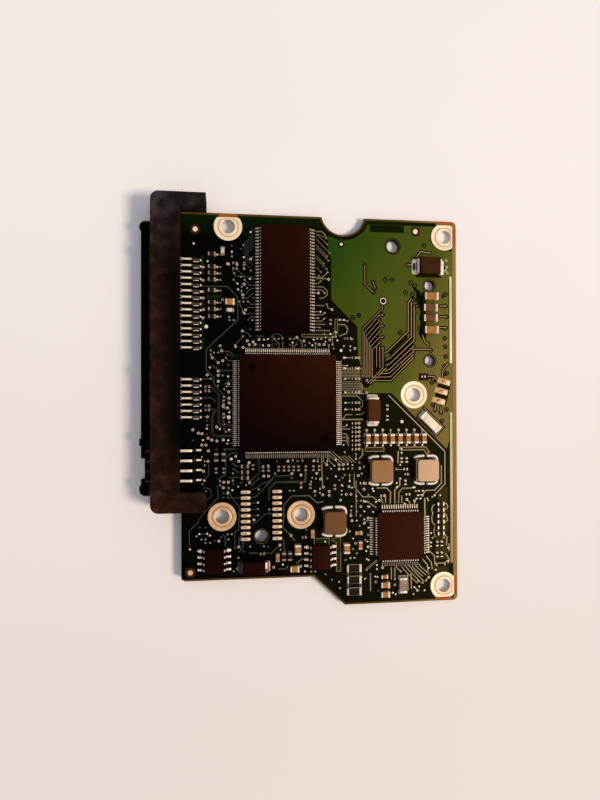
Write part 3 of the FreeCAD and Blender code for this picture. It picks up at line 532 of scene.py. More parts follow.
def loose_blocks(node: str) -> list[Block]:
    """Return the box of each separate solid of a CAD node, in the order of its first vertex.

    Args:
        node: The CAD node.

    Returns:
        One box for each solid.
    """
    work = welded(node)
    seen = set()
    blocks = []
    for start in work.verts:
        queue, found = [start], []
        while queue:
            vert = queue.pop()
            if vert not in seen:
                seen.add(vert)
                found.append(vert.co.copy())
                queue += [edge.other_vert(vert) for edge in vert.link_edges]
        if found:
            low, high = (Vector(pick(p[i] for p in found) for i in range(3)) for pick in (min, max))
            blocks.append(Block(low / MM, high / MM))
    work.free()
    return blocks


def vectors(*points: Point) -> list[Vector]:
    """Return points as vectors."""
    return [Vector(p) for p in points]


def ray(angle: float) -> Vector:
    """Return the direction at an angle from X, in radians."""
    return Vector((math.cos(angle), math.sin(angle)))


def circle(centre: Vector, radius: float, steps: int = 16) -> list[Vector]:
    """Return a round outline."""
    turns = [math.tau * k / steps for k in range(steps)]
    return [Vector((centre.x + radius * math.cos(a), centre.y + radius * math.sin(a))) for a in turns]


def rectangle(centre: Vector, length: float, width: float, corner: float = 0.0, turn: float = 0.0,
              steps: int = 2) -> list[Vector]:
    """Return a rectangle's outline.

    Args:
        centre: Its middle.
        length: Its side along X before it is turned.
        width: Its other side.
        corner: The radius of its corners.
        turn: Its angle, in degrees.
        steps: How many pieces make a corner.

    Returns:
        The outline's points, anticlockwise.
    """
    spin = Matrix.Rotation(math.radians(turn), 2)
    points = []
    for quarter, (sx, sy) in enumerate(((1, 1), (-1, 1), (-1, -1), (1, -1))):
        pivot = Vector((sx * (length / 2 - corner), sy * (width / 2 - corner)))
        for k in range(steps + 1 if corner > 0 else 1):
            points.append(centre.xy + spin @ (pivot + ray(math.pi / 2 * (quarter + k / steps)) * corner))
    return points


def mitres(path: Path) -> list[Vector]:
    """Return, for each point of a way, the step to its left that keeps unit distance from the way.

    Args:
        path: The way.

    Returns:
        One step for each point.
    """
    steps = []
    for k, spot in enumerate(path):
        legs = [(spot - path[k - 1]).normalized()] if k else []
        if k + 1 < len(path):
            legs.append((path[k + 1] - spot).normalized())
        ahead = (legs[0] + legs[-1]).normalized()
        steps.append(Vector((-ahead.y, ahead.x)) / max(0.5, ahead.dot(legs[-1])))
    return steps


def rounded(path: Path, radius: float, pieces: int) -> list[Vector]:
    """Return a way whose corners are curves.

    Args:
        path: The way with sharp corners.
        radius: How far from a corner its curve starts.
        pieces: How many pieces make a curve.

    Returns:
        The smooth way.
    """
    points = [path[0]]
    for before, spot, after in zip(path, path[1:], path[2:]):
        back, ahead = before - spot, after - spot
        reach = min(radius, back.length * 0.48, ahead.length * 0.48)
        first, last = spot + back.normalized() * reach, spot + ahead.normalized() * reach
        for k in range(pieces + 1):
            t = k / pieces
            points.append(first.lerp(spot, t).lerp(spot.lerp(last, t), t))
    return [*points, path[-1]]


def ribbon(path: Path, width: float) -> list[Vector]:
    """Return the anticlockwise outline of a track with mitred bends and round ends.

    Args:
        path: The track's middle line.
        width: Its width.

    Returns:
        The outline.
    """
    half = width / 2
    sides = [step * half for step in mitres(path)]
    right = [spot - side for spot, side in zip(path, sides)]
    left = [spot + side for spot, side in zip(path, sides)]
    caps = []
    for spot, side, near in ((path[-1], sides[-1], path[-2]), (path[0], -sides[0], path[1])):
        out = (spot - near).normalized() * half
        caps.append([spot + (out - side) * 0.7, spot + out, spot + (out + side) * 0.7])
    return [*right, *caps[0], *left[::-1], *caps[1]]


def inside(spot: Vector, edge: Path) -> bool:
    """Return whether a point lies inside an outline.

    Args:
        spot: The point.
        edge: The outline.

    Returns:
        Whether it lies inside.
    """
    odd = False
    for a, b in zip(edge, [*edge[1:], edge[0]]):
        if (a.y > spot.y) != (b.y > spot.y) and spot.x < (b.x - a.x) * (spot.y - a.y) / (b.y - a.y) + a.x:
            odd = not odd
    return odd


class Draft:
    """A mesh in the making, in millimetres."""

    def __init__(self, name: str, *finishes: Finish) -> None:
        """Start an empty mesh that wears these finishes.

        Args:
            name: The piece's name.
            finishes: Its finishes, by slot.
        """
        self.name = name
        self.finishes = finishes
        self.points: list[Vector] = []
        self.faces: list[tuple[int, ...]] = []
        self.slots: list[int] = []

    def loft(self, rings: Sequence[Path], slot: Union[int, Sequence[int]] = 0,
             wrap: bool = False) -> None:
        """Skin a row of outlines that have equally many points.

        Args:
            rings: The outlines, in order.
            slot: The finish of the skin, or of each band between outlines.
            wrap: Join the last outline to the first, with no end faces.
        """
        count = len(rings[0])
        starts = [len(self.points) + k * count for k in range(len(rings))]
        for ring in rings:
            self.points.extend(ring)
        bands = list(zip(starts, starts[1:]))
        if wrap:
            bands.append((starts[-1], starts[0]))
        slots = [slot] * len(bands) if isinstance(slot, int) else slot
        for (a, b), band in zip(bands, slots):
            for i in range(count):
                j = (i + 1) % count
                self._face((a + i, a + j, b + j, b + i), band)
        if not wrap:
            self._face(tuple(range(starts[0], starts[0] + count))[::-1], slots[0])
            self._face(tuple(range(starts[-1], starts[-1] + count)), slots[-1])

    def _face(self, corners: tuple[int, ...], slot: int) -> None:
        """Add one face."""
        self.faces.append(corners)
        self.slots.append(slot)

    def stack(self, levels: Sequence[tuple[Path, float]], slot: int = 0) -> None:
        """Skin flat outlines that lie at given heights."""
        self.loft([[Vector((p.x, p.y, z)) for p in ring] for ring, z in levels], slot)

    def plate(self, outline: Path, low: float, high: float, slot: int = 0) -> None:
        """Add a flat plate between two heights."""
        self.stack([(outline, low), (outline, high)], slot)

    def box(self, low: Vector, high: Vector, bevel: float, slot: int = 0) -> None:
        """Add a box with chamfered edges between two opposite corners.

        Args:
            low: Its lowest corner.
            high: Its highest corner.
            bevel: The chamfer.
            slot: Its finish.
        """
        size, middle = high - low, (low + high) / 2
        inner = rectangle(middle, size.x - 2 * bevel, size.y - 2 * bevel, bevel * 0.5)
        outer = rectangle(middle, size.x, size.y, bevel)
        self.stack([(inner, low.z), (outer, low.z + bevel), (outer, high.z - bevel), (inner, high.z)], slot)

    def pad(self, block: Block, corner: float, ease: float, top: float, wall: float, steps: int) -> None:
        """Add a pad that fills a box in plan.

        Args:
            block: The box.
            corner: The radius of its corners.
            ease: How far its upper edge is drawn in.
            top: Its height in the frame.
            wall: How far below the top the edge starts.
            steps: How many pieces make a corner.
        """
        at, size = block.centre, block.size
        wide, slim = (rectangle(at, size.x - cut, size.y - cut, corner - cut / 2, 0.0, steps)
                      for cut in (0.0, 2 * ease))
        self.stack([(wide, FACE), (wide, top - wall), (slim, top)])

    def tile(self, at: Vector, size: Vector, top: float, lift: float, slot: int) -> None:
        """Add a thin plate that stands out of a part's upper side.

        Args:
            at: Its middle, in plan.
            size: Its sides.
            top: The part's upper side.
            lift: How far it stands out.
            slot: Its finish.
        """
        half = size / 2
        low, high = Vector((*(at - half), top - 0.05)), Vector((*(at + half), top + lift))
        self.box(low, high, min(0.02, lift), slot)

    def track(self, path: Path, width: float, low: float, high: float, slot: int = 0) -> None:
        """Add a track whose sides slope in a little."""
        slope = min(0.06, width * 0.2)
        self.stack([(ribbon(path, width), low), (ribbon(path, width - slope), high)], slot)

    def bead(self, path: Path, width: float, height: float, slot: int = 0) -> None:
        """Add a line of solder with a round back."""
        levels = ((1.0, 0.0), (0.94, 0.35), (0.72, 0.75), (0.36, 1.0))
        self.stack([(ribbon(path, width * part), FACE + height * lift) for part, lift in levels], slot)

    def strip(self, path: Path, sheet: float, width: float, start: Vector, out: Vector,
              slots: tuple[int, int, int] = (0, 0, 0), ease: float = 0.0) -> None:
        """Add a bent metal strip.

        Args:
            path: Its middle line: distance along the heading, and height.
            sheet: Its thickness.
            width: Its width.
            start: Where the heading starts, in plan.
            out: The heading, in plan.
            slots: The finishes of its level part, its steep part and its foot.
            ease: The chamfer of its long edges.
        """
        section = rectangle(Vector((0.0, 0.0)), width, sheet, ease, steps=1)
        left = Vector((-out.y, out.x))
        rings = []
        for spot, lift in zip(path, mitres(path)):
            ring = []
            for across, up in section:
                along, height = spot + lift * up
                ring.append(Vector((*(start + out * along + left * across), height)))
            rings.append(ring)
        steep = [abs(b.y - a.y) > 0.6 * abs(b.x - a.x) for a, b in zip(path, path[1:])]
        level, bend, foot = slots
        slots = [bend if down else foot if any(steep[:k]) else level for k, down in enumerate(steep)]
        self.loft(rings, slots)

    def skirt(self, at: Vector, length: float, width: float, height: float, out: Vector, spread: float,
              side: float, slot: int = 0) -> None:
        """Add the solder that climbs the end of a foot or a cap.

        Args:
            at: The foot's middle, in plan.
            length: The foot's length.
            width: The foot's width.
            height: How high the solder climbs.
            out: The foot's heading, in plan.
            spread: How far the solder runs ahead.
            side: How far it runs to each side.
            slot: Its finish.
        """
        turn = math.degrees(math.atan2(out.y, out.x))
        levels = []
        for part, lift in ((1.0, 0.0), (1.0, 0.08), (0.5, 0.24), (0.18, 0.56), (0.0, 1.0)):
            grown = length + spread * part
            broad = width + 2 * side * part
            ring = rectangle(at + out * spread * part / 2, grown, broad, min(grown, broad) * 0.22, turn)
            levels.append((ring, FACE + Layer.TRACK.value * 0.5 * min(1.0, lift * 20) + height * lift))
        self.stack(levels, slot)

    def turned(self, centre: Vector, profile: Sequence[Point], slot: int = 0, steps: int = 16,
               closed: bool = False) -> None:
        """Add a body of revolution about Z.

        Args:
            centre: Where its axis stands.
            profile: Radius and height of each point.
            slot: Its finish.
            steps: How many pieces make a turn.
            closed: The profile is a closed loop; otherwise its ends are flat faces.
        """
        rings = [[Vector((p.x, p.y, z)) for p in circle(centre, radius, steps)] for radius, z in profile]
        self.loft(rings, slot, wrap=closed)

    def build(self, slot_name: str, *nodes: str, smooth_deg: float = 35.0) -> None:
        """Make the piece and let it ride on the board.

        Args:
            slot_name: The record's material slot; not used.
            nodes: CAD nodes that it stands for.
            smooth_deg: Sharper edges stay sharp.
        """
        mesh = bpy.data.meshes.new(self.name)
        mesh.from_pydata([p * MM for p in self.points], [], self.faces)
        for finish in self.finishes:
            mesh.materials.append(finish.material())
        mesh.polygons.foreach_set("material_index", self.slots)
        mesh.update()
        settle(mesh, nodes, smooth_deg)


def put(name: str, data: bpy.types.ID) -> bpy.types.Object:
    """Put a mesh, a lamp or a camera into the scene.

    Args:
        name: The object's name.
        data: What it shows.

    Returns:
        The object.
    """
    made = bpy.data.objects.new(name, data)
    bpy.context.scene.collection.objects.link(made)
    return made


def settle(mesh: bpy.types.Mesh, nodes: Sequence[str], smooth_deg: float = 35.0) -> None:
    """Put a mesh into the scene as a piece of the board.

    Args:
        mesh: The mesh, in metres, with the piece's name.
        nodes: CAD nodes that it stands for.
        smooth_deg: Sharper edges stay sharp.
    """
    mesh.shade_smooth()
    mesh.set_sharp_from_angle(angle=math.radians(smooth_deg))
    piece = put(mesh.name, mesh)
    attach(piece, ROOT)
    if nodes:
        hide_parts(*nodes)
    LOG.info("%s: %d faces", mesh.name, len(mesh.polygons))


def eased_copy(node: str, name: str, finish: Finish, ease_mm: float,
               pieces: int = 2) -> None:
    """Show a CAD node as a copy whose sharp edges are rounded.

    Args:
        node: The CAD node.
        name: The copy's name.
        finish: What it wears.
        ease_mm: How much of each edge is taken off.
        pieces: How many faces make an edge.
    """
    work = welded(node)
    bmesh.ops.dissolve_limit(work, angle_limit=math.radians(FLAT_DEG), verts=work.verts, edges=work.edges)
    sharp = [e for e in work.edges
             if len(e.link_faces) == 2 and e.calc_face_angle() > math.radians(EASED_FROM_DEG)]
    bmesh.ops.bevel(work, geom=sharp, offset=ease_mm * MM, segments=pieces, profile=0.5, affect="EDGES",
                    clamp_overlap=True)
    bmesh.ops.triangulate(work, faces=[f for f in work.faces if len(f.verts) > 4])
    mesh = bpy.data.meshes.new(name)
    work.to_mesh(mesh)
    work.free()
    finish.dress(mesh)
    settle(mesh, [node], SHARP_COPY_DEG)


def sheet(name: str, finish: Finish, outlines: Sequence[Path], low: float, high: float) -> None:
    """Make a flat layer of mask with openings.

    Args:
        name: The layer's name.
        finish: What it wears.
        outlines: Its edge, then the edges of its openings.
        low: Its lower height.
        high: Its upper height.
    """
    curve = bpy.data.curves.new(name, "CURVE")
    curve.dimensions = "2D"
    curve.fill_mode = "BOTH"
    curve.extrude = (high - low) / 2 * MM
    for outline in outlines:
        spline = curve.splines.new("POLY")
        spline.points.add(len(outline) - 1)
        for point, spot in zip(spline.points, outline):
            point.co = (spot.x * MM, spot.y * MM, 0.0, 1.0)
        spline.use_cyclic_u = True
    carrier = bpy.data.objects.new(name + "_outline", curve)
    mesh = bpy.data.meshes.new_from_object(carrier)
    bpy.data.objects.remove(carrier)
    mesh.name = name
    mesh.transform(Matrix.Translation((0.0, 0.0, (low + high) / 2 * MM)))
    finish.dress(mesh)
    settle(mesh, [])


Route = tuple[float, tuple[Vector, ...]]


def oblong(left: float, start: float, right: float, end: float) -> tuple[Vector, ...]:
    """Return the corners of a drawn upright rectangle."""
    return pairs(left, start, right, start, right, end, left, end)


def tracks(*written: tuple[float, ...]) -> list[Route]:
    """Return tracks, each written as a width and the drawn places of its corners."""
    return [(width, pairs(*places)) for width, *places in written]


def fan(count: int, across: float, up: float, width: float, *places: float) -> list[tuple[float, ...]]:
    """Return written tracks: each is the one before it, moved across and up."""
    steps = (across, up) * (len(places) // 2)
    return [(width, *(place + k * step for place, step in zip(places, steps))) for k in range(count)]


def memory_track(u: float, v: float) -> tuple[float, ...]:
    """Return a slanting track from the memory's leads to a via."""
    return 0.18, 25.6, min(6.2, v + u - 25.6), u, v


def bus_track(number: int) -> tuple[float, ...]:
    """Return one track of the bus: from its via down a slope, along the bundle and to the controller.

    Args:
        number: Its place in the bundle.

    Returns:
        The track as it is written.
    """
    u, v, row = 35.49 + 0.335 * number, -9.24 - 1.17 * number, -21.7 - 0.3 * number
    via = 39.7 if number % 2 else 39.02
    return 0.24, via, v, 38.95, v - 0.12, u, -13.45 - 0.72 * number, u, row, 34.9, row


# Covered vias beside the memory, each at the end of a slanting track from a lead.
MEMORY_ENDS = (27.8, 5.4, 27.95, 4.1, 28.4, 2.3, 27.9, 1.6, 28.2, 0.7, 27.2, 0.05, 27.8, -1.1, 26.6, -1.7)
MEMORY_VIAS = pairs(*MEMORY_ENDS)

# Tracks on the dark mask.
MASK_ROUTES = tracks(
    # Between the connector, the controller and the memory.
    (0.3, 1.6, -5.2, 7.3, -5.2, 9.3, -7.2, 9.4, -11.9, 3, -18, 3, -22.2, 4.5, -23.7, 4.5, -25, 8.3, -29.4),
    (0.62, 3.8, -25.4, 5.5, -27.2, 5.5, -32.8, 6.1, -33.5, 8.2, -33.5),
    (0.6, 3.6, -30, 4.8, -30.4, 4.2, -31.6, 4.2, -35.1, 4.7, -35.6, 8.2, -35.6),
    (0.45, 6.6, -38.3, 9.4, -38.3), (0.3, 4.1, -19.4, 5.4, -20.7),
    (0.45, 3.5, -21.5, 4.6, -21.5, 5.6, -22.3, 8.2, -22.3), (0.3, 1.6, -24.1, 3.8, -23.9),
    (0.3, 1.6, -27.9, 3.9, -27.8, 4.9, -28.6), (0.3, 1.6, -31.75, 3.2, -31.7),
    (0.25, 3.5, -41.3, 3.4, -43.6, 2.5, -44.5),
    (0.3, 5.2, -44.5, 6.9, -43.4, 6.9, -40, 7.8, -39.2, 9.2, -39),
    (0.35, 8.3, -41.2, 9, -41.8, 11.4, -41.8), (0.35, 8.3, -42.2, 9.3, -43, 11.4, -43),
    (0.35, 7.6, -44.1, 11.6, -44.1), (0.3, 12, -44.8, 13.5, -43.4, 13.5, -42),
    (0.6, 13.6, -40.4, 13.6, -43.2), (0.3, 8.4, -1.6, 8.4, -2.3, 9, -3, 12.4, -3.1),
    (0.3, 9.4, -1.8, 10.6, -2.9), (0.32, 9.4, -5.7, 10.4, -6.8, 10.7, -7.5, 11.3, -7.5, 12.4, -6.5),
    (0.32, 9.8, -8.8, 10.5, -10.2, 11, -10.7, 12.6, -10.6), (0.3, 10.3, -14.2, 11.5, -14.7, 11.9, -15.4),
    (0.28, 8.8, -17.1, 10.5, -15.3), (0.3, 5.8, -17.3, 6, -18.3, 7.6, -18.4, 8.4, -19),
    (0.22, 12, 6.1, 12.6, 6.7), (0.26, 13.1, -15.2, 14.6, -15.2),
    (0.24, 15.9, -15.5, 16.7, -14.8, 18, -14.8, 18.6, -15.5), (0.26, 16.4, -15.4, 16.4, -17.4),
    *fan(5, 0, -0.65, 0.2, 12.5, 5.6, 10.6, 3.6),
    *fan(2, -0.4, -0.7, 0.22, 11.4, 2.4, 11.4, 0.2, 12.4, -0.6),
    # Round the head contact pads and in the lower left corner.
    (0.26, 5.2, -45.6, 5.4, -48, 1.5, -52.3, 1.4, -53, -0.4, -54.6, -0.4, -58.4),
    (0.22, 7, -45.8, 8.2, -48.3, 9.6, -50, 9.5, -54.7, 8.7, -55.3, 8.7, -58.4),
    (0.24, 2.3, -46.1, 3.6, -46.2, 4, -46.9, 3.9, -47.9, 3.2, -48.5), (0.22, 7.4, -48.2, 9.9, -48.2),
    (0.26, 12, -48.2, 13, -48.1, 16.4, -44.6),
    (0.26, 12, -46.6, 13.2, -46.3, 14.2, -45.4, 15.4, -45.2, 17, -43.9, 20, -43.9),
    (0.5, 15.7, -48.8, 15.7, -46.6, 17, -45.2, 23.2, -45.2, 23.3, -42.6),
    (0.28, 18.6, -54, 18.8, -49.8, 20.4, -48.1, 24, -48.1, 25.6, -49.6, 26.9, -49.4),
    (0.22, 12, -53.8, 13.2, -53.2, 14.8, -51.7, 16, -51.5), (0.34, 18.4, -54.4, 20, -56, 21, -57.3),
    (0.45, 18.6, -57, 18.9, -59.4), (0.32, 17.9, -58.1, 16.2, -59.7, 14, -59.6, 11.6, -59.5),
    (0.34, 9.4, -58.1, 9.7, -56.4, 10.6, -55.6), (0.45, 6.4, -55.7, 6.8, -56.2, 6.8, -57.9),
    (0.3, 9.6, -59.2, 10.3, -58.4, 10.4, -57), (0.3, 21.4, -62, 22.4, -61.1, 23.6, -61.1),
    (0.3, 17.6, -63, 19.6, -63), *fan(3, 0, -1.3, 0.22, 11.8, -49.4, 13.4, -49.3),
    *fan(2, 0, -0.9, 0.22, 15.7, -50.7, 16.6, -50.7),
    # Right of the memory and of the controller.
    (0.3, 25.6, -4.8, 27, -4.8, 27.9, -5.6, 27.9, -6.4, 27.2, -7.1, 26.3, -7.2),
    (0.3, 25.6, -8.7, 27.2, -8.7), (0.3, 27.7, -8.4, 28.1, -9.2, 29, -9.5), (0.3, 25.6, -3.1, 28.2, -3.1),
    (0.3, 25.6, -12.6, 27.4, -12.6), (0.3, 25.6, -13.9, 28.4, -13.9),
    (0.35, 30.4, -12.6, 31.6, -12.6, 32.2, -13.4, 32, -14.4, 30.4, -15), (0.3, 30.4, -11.6, 32.2, -11.8),
    (0.35, 25.6, 6.7, 26.8, 6.7, 27.5, 6, 27.7, 5.2),
    *map(memory_track, MEMORY_ENDS[::2], MEMORY_ENDS[1::2]), *fan(6, 0, -0.3, 0.2, 31, -22, 35, -22),
    *fan(6, 0, -0.36, 0.2, 31, -24.5, 34.6, -24.5, 35.4, -25.2),
    (0.3, 31, -27.5, 34.2, -27.5, 35.3, -28.5, 35.4, -29.4, 34.9, -29.9),
    (0.3, 31.2, -32.2, 31.8, -31.4, 33, -31.4), (0.4, 31, -32.4, 35.4, -32.4),
    (0.3, 34, -31.4, 35.2, -31.3, 35.6, -30.8), (0.3, 31.2, -27, 35.6, -27),
    *fan(3, -0.35, -0.35, 0.26, 28.6, -38.7, 30.6, -40.6, 31.4, -41.2),
    *fan(4, 0.7, 0, 0.24, 30.2, -40, 31.6, -41.4), (0.3, 31, -34.4, 32.6, -34.4),
    *fan(3, 0, -0.7, 0.3, 31, -35.4, 31.8, -35.4, 32.4, -36.4), (0.4, 26.6, -40.3, 26.8, -46.2),
    (0.35, 34.6, -40.6, 35.3, -39.8, 35.3, -38.6),
    (0.3, 33.5, -43.8, 33.5, -46.4, 35.3, -48.6, 37.4, -48.6, 38.6, -49.6),
    (0.26, 33.9, -45.2, 33.9, -52.6), (0.3, 36.2, -49.5, 38.2, -50.9), (0.3, 36.9, -64.6, 36.9, -68.2),
    (0.6, 36.2, -63.6, 38.2, -62),
    # Round the inductors and the motor driver.
    (0.34, 40.2, -49.9, 40.2, -48.2), (0.36, 41.2, -50, 41.3, -47.7, 40.4, -46.8, 38.4, -46.8),
    (0.36, 42.2, -50, 42.2, -47.3, 43.3, -46.3, 43.3, -44.9),
    (0.42, 43, -50, 43.1, -47.8, 43.8, -47, 46.3, -46.9), (0.3, 43.7, -50, 43.7, -48.5),
    (0.3, 39.6, -50, 39.2, -48.6), (0.3, 53.2, -39.3, 53.2, -46.2, 50.9, -48.5),
    (0.3, 52.4, -42.3, 52.4, -46, 50.9, -47.5, 49, -47.5, 48.2, -48.4, 47.2, -48.5),
    (0.34, 41, -27.4, 53.2, -39.3), (0.4, 48.7, -49.2, 48.8, -53.2), (0.4, 42.9, -41.6, 43, -39.2),
    (0.26, 42.4, -43, 44.8, -43), *fan(3, 0.7, 0.2, 0.24, 43.6, -63.4, 44.6, -64.6, 47, -67),
    *fan(3, 0.7, 0.2, 0.24, 45.9, -63.4, 46.4, -64, 48.2, -65.6),
    *fan(2, 0.75, 0.3, 0.3, 44.9, -65, 45, -68.4), *fan(2, 0.75, 0, 0.3, 41.4, -63.6, 41.4, -66),
    (0.3, 49.8, -60.4, 50.8, -61.4, 50.9, -63.3),
    *fan(2, 0.9, 0.5, 0.3, 48.1, -61.9, 49.2, -63.2, 49.4, -64.6), (0.3, 51, -63, 53, -63, 53.8, -62.4),
    (0.3, 51, -50.5, 50.4, -50.9, 50.25, -51.7, 50.5, -52.4, 50.25, -53.2, 50.35, -54.2, 51, -55),
    *fan(2, 2.72, -0.1, 0.62, 32.1, -62.6, 32.1, -68.6),
    (0.28, 52.9, -50.3, 53.6, -50.5, 53.85, -51.1, 53.2, -51.65),
    (0.28, 53, -52.3, 53.45, -52.9, 53.75, -53.9, 53.1, -54.4), (0.28, 51, -55, 50.7, -56.2, 51, -57.4),
    (0.28, 53.2, -57, 53.6, -57.6, 53.5, -59.2), (0.34, 54.05, -59, 54.05, -60.4),
    (0.28, 53.3, -61, 54.1, -62.3, 53.8, -63.1),
)

# Tracks that cross the pour, each in its own moat; the bus climbs into it from the controller.
POUR_ROUTES = tracks(
    (0.28, 35.9, -0.1, 35.9, -4, 37.6, -5.6), (0.24, 37.7, -3.6, 38.1, -4.7),
    (0.24, 39.85, -7.5, 39.66, -9.2, 35.49, -13.3, 35.49, -21.7, 34.9, -21.7), *map(bus_track, range(1, 7)),
    *fan(3, 0.68, -0.15, 0.26, 38.38, -17, 38.38, -21.4),
    (0.26, 40.23, -18.42, 40.8, -18.1, 45.27, -13.85, 45.29, -7.8, 46, -6.9),
    (0.26, 40.55, -19.77, 41.29, -19.53, 45.94, -15.11, 45.97, -7.58),
    (0.26, 40.55, -20.97, 41.17, -20.76, 46.53, -15.74, 46.56, -8.42),
    (0.26, 40.39, -22.17, 41.06, -21.94, 46.42, -17.01),
    (0.26, 39.14, -22.79, 41.06, -22.72, 46.41, -18.07), (0.26, 37.9, -23.55, 41.28, -23.5, 46.41, -18.7),
    (0.26, 37.45, -24.25, 41.49, -24.24, 46.41, -19.35), (0.26, 37, -25, 40.4, -21.6),
    (0.26, 36.4, -24.9, 39.8, -21.5), (0.28, 46.2, -17.6, 50.2, -17.6), (0.3, 47.2, 2, 48, 3.2, 50.2, 2.9),
    (0.26, 45.2, 0.3, 46.2, 0.3), (0.26, 48.4, -14.6, 48.9, -16, 49.8, -16.6),
    (0.3, 49.5, -23.3, 51, -23.4, 51.8, -24.4), *fan(3, 0, -2.3, 0.26, 52.2, -8.3, 53.7, -8.3),
    (0.26, 52.8, -24, 52.8, -22, 54, -20.6), (0.26, 51.2, -29.3, 51.1, -30.5),
    (0.26, 52.3, -29.8, 52.4, -31), (0.22, 48.61, -29.96, 52.93, -34.13, 50.99, -36.14),
)

